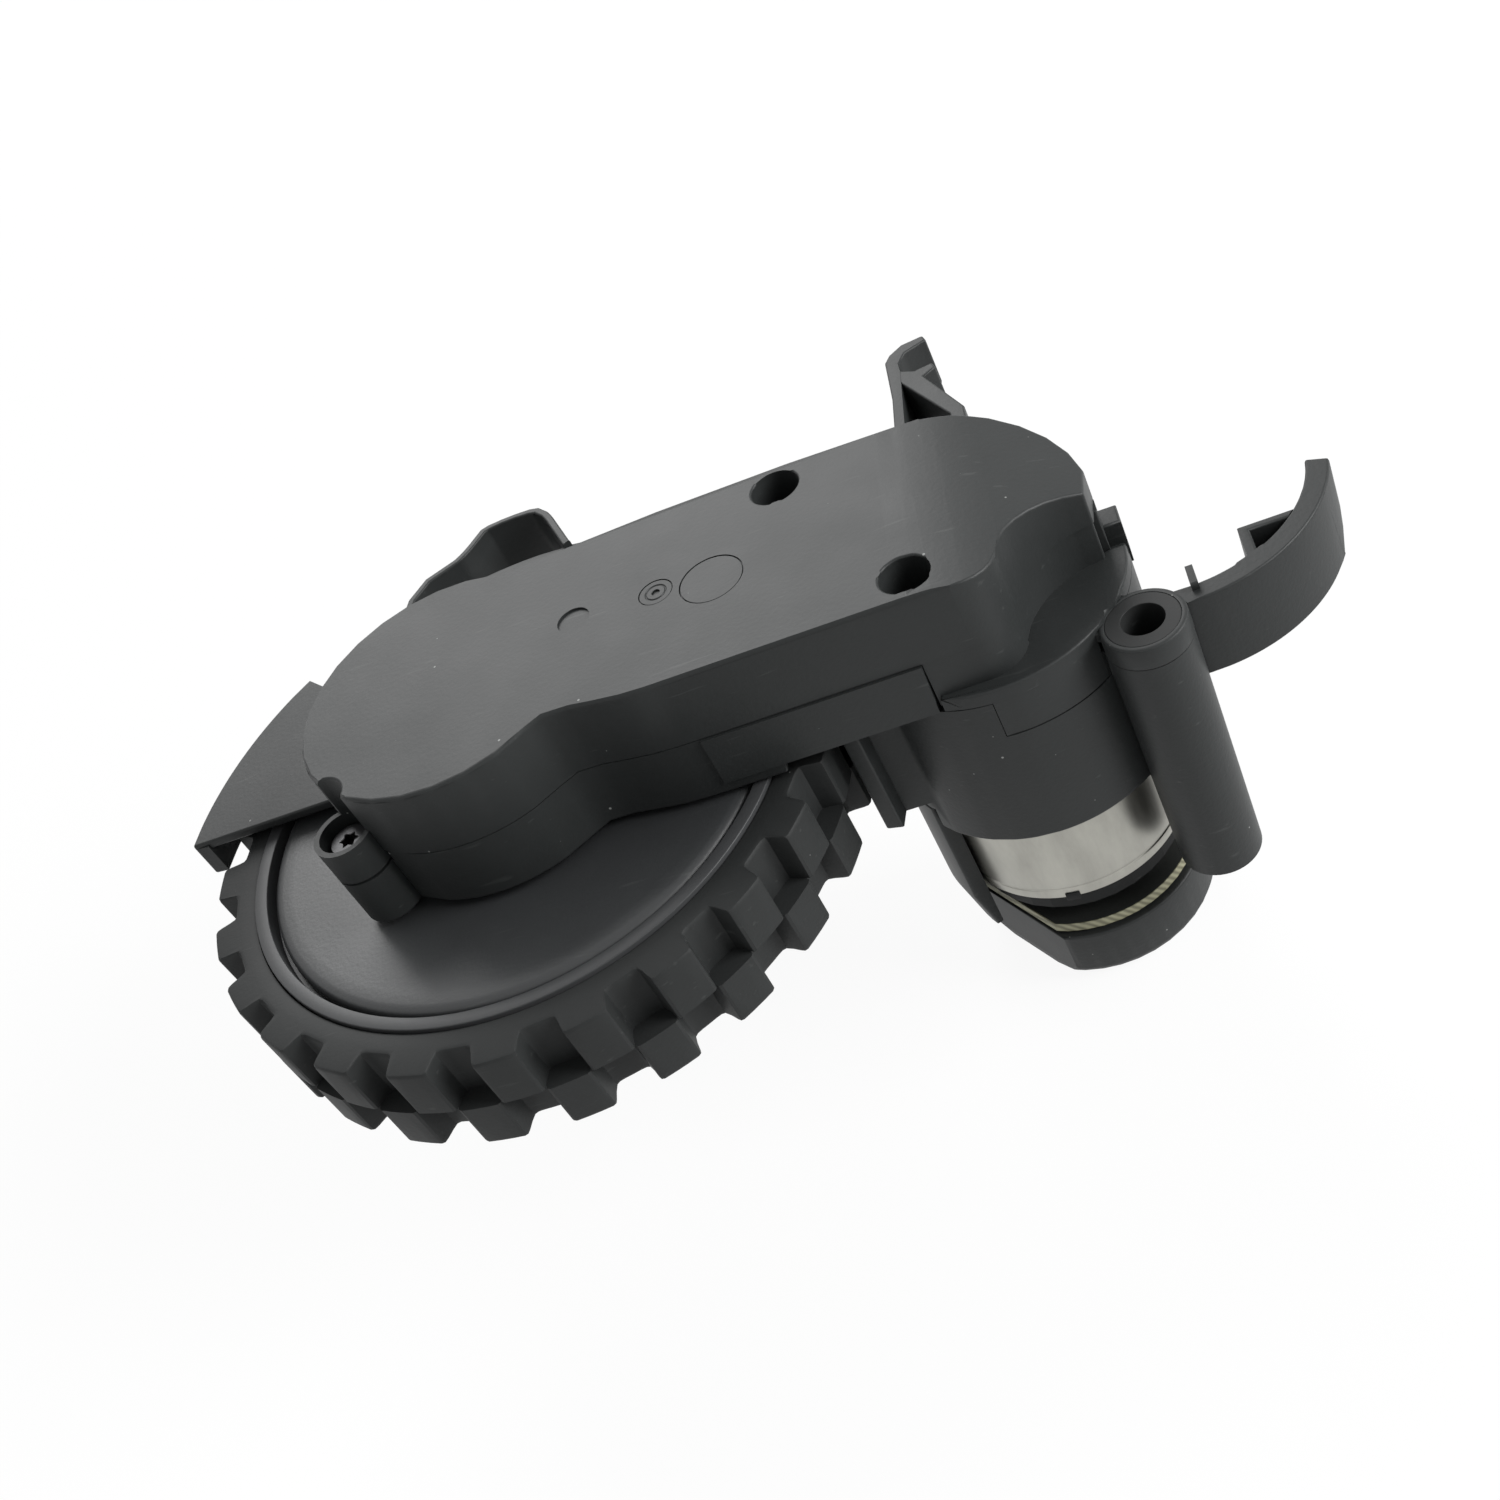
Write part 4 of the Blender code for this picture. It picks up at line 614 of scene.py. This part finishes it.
# Gearbox cover: the black ABS lid, screwed down at three places. Its top slopes off over the motor, and
# its collar takes the top of the pivot tube.
LID_TOP = 12.5
SLOPE_FROM_MOTOR = 0.4
SLOPE = 0.34
SLOPE_BEND = 4.5
SLOPE_CUTS = [i - 4.8 for i in range(10)]
SLOPE_ENDS = (-6.0, 20.0)
SLOPE_LOWEST = LID_TOP - 5.0
SLOPE_NEAR = 0.1
SLOPE_MERGE = 0.3
# The solid's own facets: place along the slope, and depth under the lid's top.
SLOPE_FACETS = ((-6.0, 0.0), (-5.68, 0.0), (-2.5, 0.1), (0.5, 0.5), (4.0, 1.36), (20.0, 6.8))
COLLAR_R = 4.2
COLLAR_DROP = 0.1


def facet_depth(x):
    """How far the solid's facets lie under the lid's top."""
    one, two = next((a, b) for a, b in zip(SLOPE_FACETS, SLOPE_FACETS[1:]) if x <= b[0])
    return one[1] + (two[1] - one[1]) * (x - one[0]) / (two[0] - one[0])


def curve_depth(x):
    """How far the even curve lies under the lid's top: flat, then a parabola, then the straight slope."""
    if x < -SLOPE_BEND:
        return 0.0
    return SLOPE / (4 * SLOPE_BEND) * (x + SLOPE_BEND) ** 2 if x < SLOPE_BEND else SLOPE * x


def smooth_slope(bm):
    """Turns the facets of the lid's sloping end into one even curve, and lowers the collar's own top."""
    for cut in SLOPE_CUTS:
        tops = [f for f in bm.faces if f.normal.z > 0.9 and f.calc_center_median().z > SLOPE_LOWEST * MM]
        around = dict.fromkeys(part for f in tops for part in (*f.edges, *f.verts))
        bmesh.ops.bisect_plane(bm, geom=tops + list(around), dist=1e-7, plane_no=(1, 0, 0),
                               plane_co=(cut * MM + MOTOR.x + SLOPE_FROM_MOTOR * MM, 0, 0))
    shaped = []
    for vert in bm.verts:
        if abs(vert.co.z) < WITHIN * MM and vert.co.xy.length < COLLAR_R * MM:
            vert.co.z -= COLLAR_DROP * MM
        x = (vert.co.x - MOTOR.x) / MM - SLOPE_FROM_MOTOR
        if SLOPE_ENDS[0] < x < SLOPE_ENDS[1] and LID_TOP - facet_depth(x) - vert.co.z / MM < SLOPE_NEAR:
            vert.co.z += (facet_depth(x) - curve_depth(x)) * MM
            shaped.append(vert)
    bmesh.ops.remove_doubles(bm, verts=shaped, dist=SLOPE_MERGE * MM)


# The same black ABS off a finer tool: slightly lighter and smoother than the base.
lid_plastic = plastic("moulded_black_abs_lid", "#222424", "#2a2c2c", rough=0.46, grain_mm=0.45, grain=0.35,
                      specks=0.2, gloss=0.25)
hand_in(softened("lid_moulding", "gearbox_cover", 0.26, smooth_slope, "gearbox_base"),
        "body", "abs_cover", lid_plastic, "gearbox_cover")

# Two marks of the mould's ejector pins, nearly flush in their shallow seats; places are from gear_pin_2.
mark_top = LID_TOP - 0.04
mark_low = mark_top - 0.15
ring_low = mark_top - 0.1
marks_from = middle("gear_pin_2")
RINGED_MARK = [(0.42, mark_low), (0.42, mark_top), (0.52, mark_top), (0.85, mark_top), (0.92, mark_top),
               (0.98, ring_low), (1.08, ring_low), (1.14, mark_top), (1.22, mark_top), (1.6, mark_top),
               (1.7, mark_top), (1.7, mark_low)]
WIDE_MARK = [(0.0, mark_top), (3.08, mark_top), (3.18, mark_top), (3.18, mark_low), (0.0, mark_low)]
for name, x, y, profile in (("ejector_mark_ringed", -5.1, 1.0, RINGED_MARK),
                            ("ejector_mark_wide", 0.6, 0.0, WIDE_MARK)):
    mark = turned(profile, 48, (marks_from.x + x * MM, marks_from.y + y * MM), 0.03, steeper=40)
    hand_in(new_piece(name, mark), "body", "abs_cover", lid_plastic)

# The collar's rim, a thin ring round the flange of the bush.
COLLAR_RIM = [(3.52, -0.6), (3.52, 0.0), (3.8, 0.0), (3.98, -0.05), (4.06, -0.13), (4.09, -0.26),
              (4.09, -2.4), (3.9, -2.4), (3.9, -0.6)]
hand_in(new_piece("collar_rim", turned(COLLAR_RIM, 72, (0.0, 0.0), 0.03, steeper=60), 50),
        "body", "abs_cover", lid_plastic)


# Cover screws: three thread-forming screws of blackened steel with a six-lobe socket, two deep in the
# cover's recesses and one in the lug beside the wheel.

# Blackened steel: a dark oxide that still shines like metal on the head's edge.
black_steel = metal("blackened_steel", "#3a3a3b", "#4a4a4b", rough=0.35, streak=1.0, streak_mm=2.0)
for name in ("cover_screw_rear", "cover_screw_front", "lug_screw"):
    hand_in(softened(name + "_turned", name, 0.1), "body", "screw_black", black_steel, name)


# Hub: a wheel of grey plastic whose rim shows as a pale ring, with a black dished cover snapped into
# each side. The wheel screw holds it on the axle from outside.
AXLE = middle("wheel_axle")
HUB_R = 30.0
SEAT_R = HUB_R - 1.45
SEAT_SHOULDER = SEAT_R - 1.4
DISC_R = SEAT_R - 0.55
BOSS_R = 6.0
BOSS_BORE = 2.8
low, top = (corner.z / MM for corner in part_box("wheel_hub"))

# Grey ABS off a plain tool: even, a shade lighter than the cover beside it, with a soft sheen.
hub_plastic = plastic("moulded_grey_abs", "#38393a", "#404142", rough=0.42, grain_mm=0.5, grain=0.15,
                      specks=0.06, gloss=0.25)
profile = [(BOSS_BORE, top - 2.3), (BOSS_R, top - 2.3), (BOSS_R, top - 5.5), (SEAT_SHOULDER, top - 5.5),
           (SEAT_SHOULDER, top - 2.2), (SEAT_R, top - 2.2), (SEAT_R, top), (HUB_R, top), (HUB_R, low),
           (SEAT_R, low), (SEAT_R, low + 1.4), (SEAT_SHOULDER, low + 1.4), (SEAT_SHOULDER, low + 4.1),
           (BOSS_R, low + 4.1), (BOSS_R, low + 2.4), (BOSS_BORE, low + 2.4)]
hand_in(new_piece("hub_rim", turned(profile, 128, AXLE, 0.12)), "wheel", "hub_grey", hub_plastic, "wheel_hub")

# Black ABS with a finely etched face: its sheen spreads wide over the shallow dish.
cover_plastic = plastic("moulded_black_abs_hub", "#2b2c2d", "#313334", rough=0.44, grain_mm=0.45, grain=0.4,
                        specks=0.10, gloss=0.5)
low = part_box("hub_cover")[0].z / MM
profile = [(3.4, low + 1.0), (12.0, low + 1.25), (20.0, low + 1.45), (DISC_R - 2.5, low + 1.58),
           (DISC_R - 1.2, low + 1.56), (DISC_R - 0.5, low + 1.44), (DISC_R - 0.12, low + 1.1),
           (DISC_R, low + 0.6), (DISC_R, low), (3.4, low)]
hand_in(new_piece("hub_cover_disc", turned(profile, 128, AXLE, 0.1, steeper=50)),
        "wheel", "hub_black", cover_plastic, "hub_cover")
low, top = (corner.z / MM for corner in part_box("outer_cap"))
profile = [(5.0, top), (DISC_R, top), (DISC_R, low + 0.3), (DISC_R - 0.5, low), (24.0, low + 0.05),
           (23.0, low + 0.35), (21.0, low + 0.35), (20.0, low + 0.08), (14.0, low + 0.1),
           (9.0, low + 0.25), (5.0, low + 0.4)]
hand_in(new_piece("outer_cap_disc", turned(profile, 96, AXLE, 0.18, steeper=50)),
        "wheel", "hub_black", cover_plastic, "outer_cap")
hand_in(softened("wheel_screw_turned", "wheel_screw", 0.12), "wheel", "steel", ground_steel, "wheel_screw")


# Tyre: one ring of black rubber, moulded with two rows of square blocks set half a pitch apart.
# It is stretched over the hub, and its grooves run out through both side walls.
TREAD_LOW, TREAD_TOP = (corner.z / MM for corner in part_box("tyre"))
TREAD_R = (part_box("tyre")[1].x - AXLE.x) / MM
ROOT_R = TREAD_R - 2.45
SIDE_R = 31.9
BEAD_R = HUB_R + 0.1
BLOCKS = 24
ROW_SPLIT = TREAD_LOW + 5.6
# Half a pitch of the tread from above, from a block's middle to the groove's: share of the pitch, and
# share of the block's height over the groove's floor.
HALF_PITCH = ((0.07, 1.0), (0.205, 1.0), (0.238, 0.938), (0.25, 0.793), (0.268, 0.414), (0.295, 0.103),
              (0.335, 0.021), (0.40, 0.0))
PITCH = ((-0.5, 0.0), *((-part, rise) for part, rise in reversed(HALF_PITCH)), *HALF_PITCH)
# Steps of (height left to the side wall, depth under the outline) over the rounded shoulder, and of
# (height left, radius) from there down the side wall to the bead.
SHOULDER = ((0.5, 0.0), (0.22, 0.05), (0.06, 0.16), (0.0, 0.36))
SIDE_WALL = ((0.0, SIDE_R), (0.0, BEAD_R + 0.35), (0.12, BEAD_R + 0.08), (0.5, BEAD_R))


def drawn_on(bm, edges, z, reach):
    """Extrudes a ring of edges to the height z; reach gives each new corner's radius."""
    made = bmesh.ops.extrude_edge_only(bm, edges=edges)["geom"]
    for vert in [g for g in made if isinstance(g, bmesh.types.BMVert)]:
        vert.co = (*(vert.co.xy.normalized() * reach(vert)), z)
    return [g for g in made if isinstance(g, bmesh.types.BMEdge)]


def tread_row(bm, outer_z, split_z, turn):
    """One row of blocks: a circle bent into their outline, then drawn up, over the shoulder, in to the
    bead and back."""
    outline = bm.verts.layers.float.get("outline") or bm.verts.layers.float.new("outline")
    count = len(PITCH)
    ring = bmesh.ops.create_circle(bm, segments=BLOCKS * count, radius=1.0)["verts"]
    for i, vert in enumerate(ring):
        part, rise = PITCH[i % count]
        angle = (i // count + part + turn) * math.tau / BLOCKS
        vert[outline] = ROOT_R + rise * (TREAD_R - ROOT_R)
        vert.co = (vert[outline] * math.cos(angle), vert[outline] * math.sin(angle), split_z)
    edges = list(dict.fromkeys(e for v in ring for e in v.link_edges))
    outward = 1 if outer_z > split_z else -1
    for left, inset in SHOULDER:
        edges = drawn_on(bm, edges, outer_z - outward * left, lambda vert: vert[outline] - inset)
    for left, radius in SIDE_WALL:
        edges = drawn_on(bm, edges, outer_z - outward * left, lambda vert: radius)
    edges = drawn_on(bm, edges, split_z, lambda vert: BEAD_R)
    drawn_on(bm, edges, split_z, lambda vert: vert[outline])


# Vulcanised rubber: near black and matt, with a faint bloom in clouds and dust in its grain.
rubber = plastic("moulded_rubber", "#1f2020", "#272929", rough=0.6, grain_mm=0.4, grain=0.35, specks=0.16,
                 gloss=0.22)
bm = bmesh.new()
tread_row(bm, TREAD_TOP, ROW_SPLIT, 0.0)
tread_row(bm, TREAD_LOW, ROW_SPLIT + 0.005, 0.5)
bmesh.ops.scale(bm, vec=(MM, MM, MM), verts=bm.verts)
bmesh.ops.translate(bm, vec=(AXLE.x, AXLE.y, 0), verts=bm.verts)
hand_in(new_piece("tyre_rubber", bm, 28), "wheel", "rubber", rubber, "tyre")
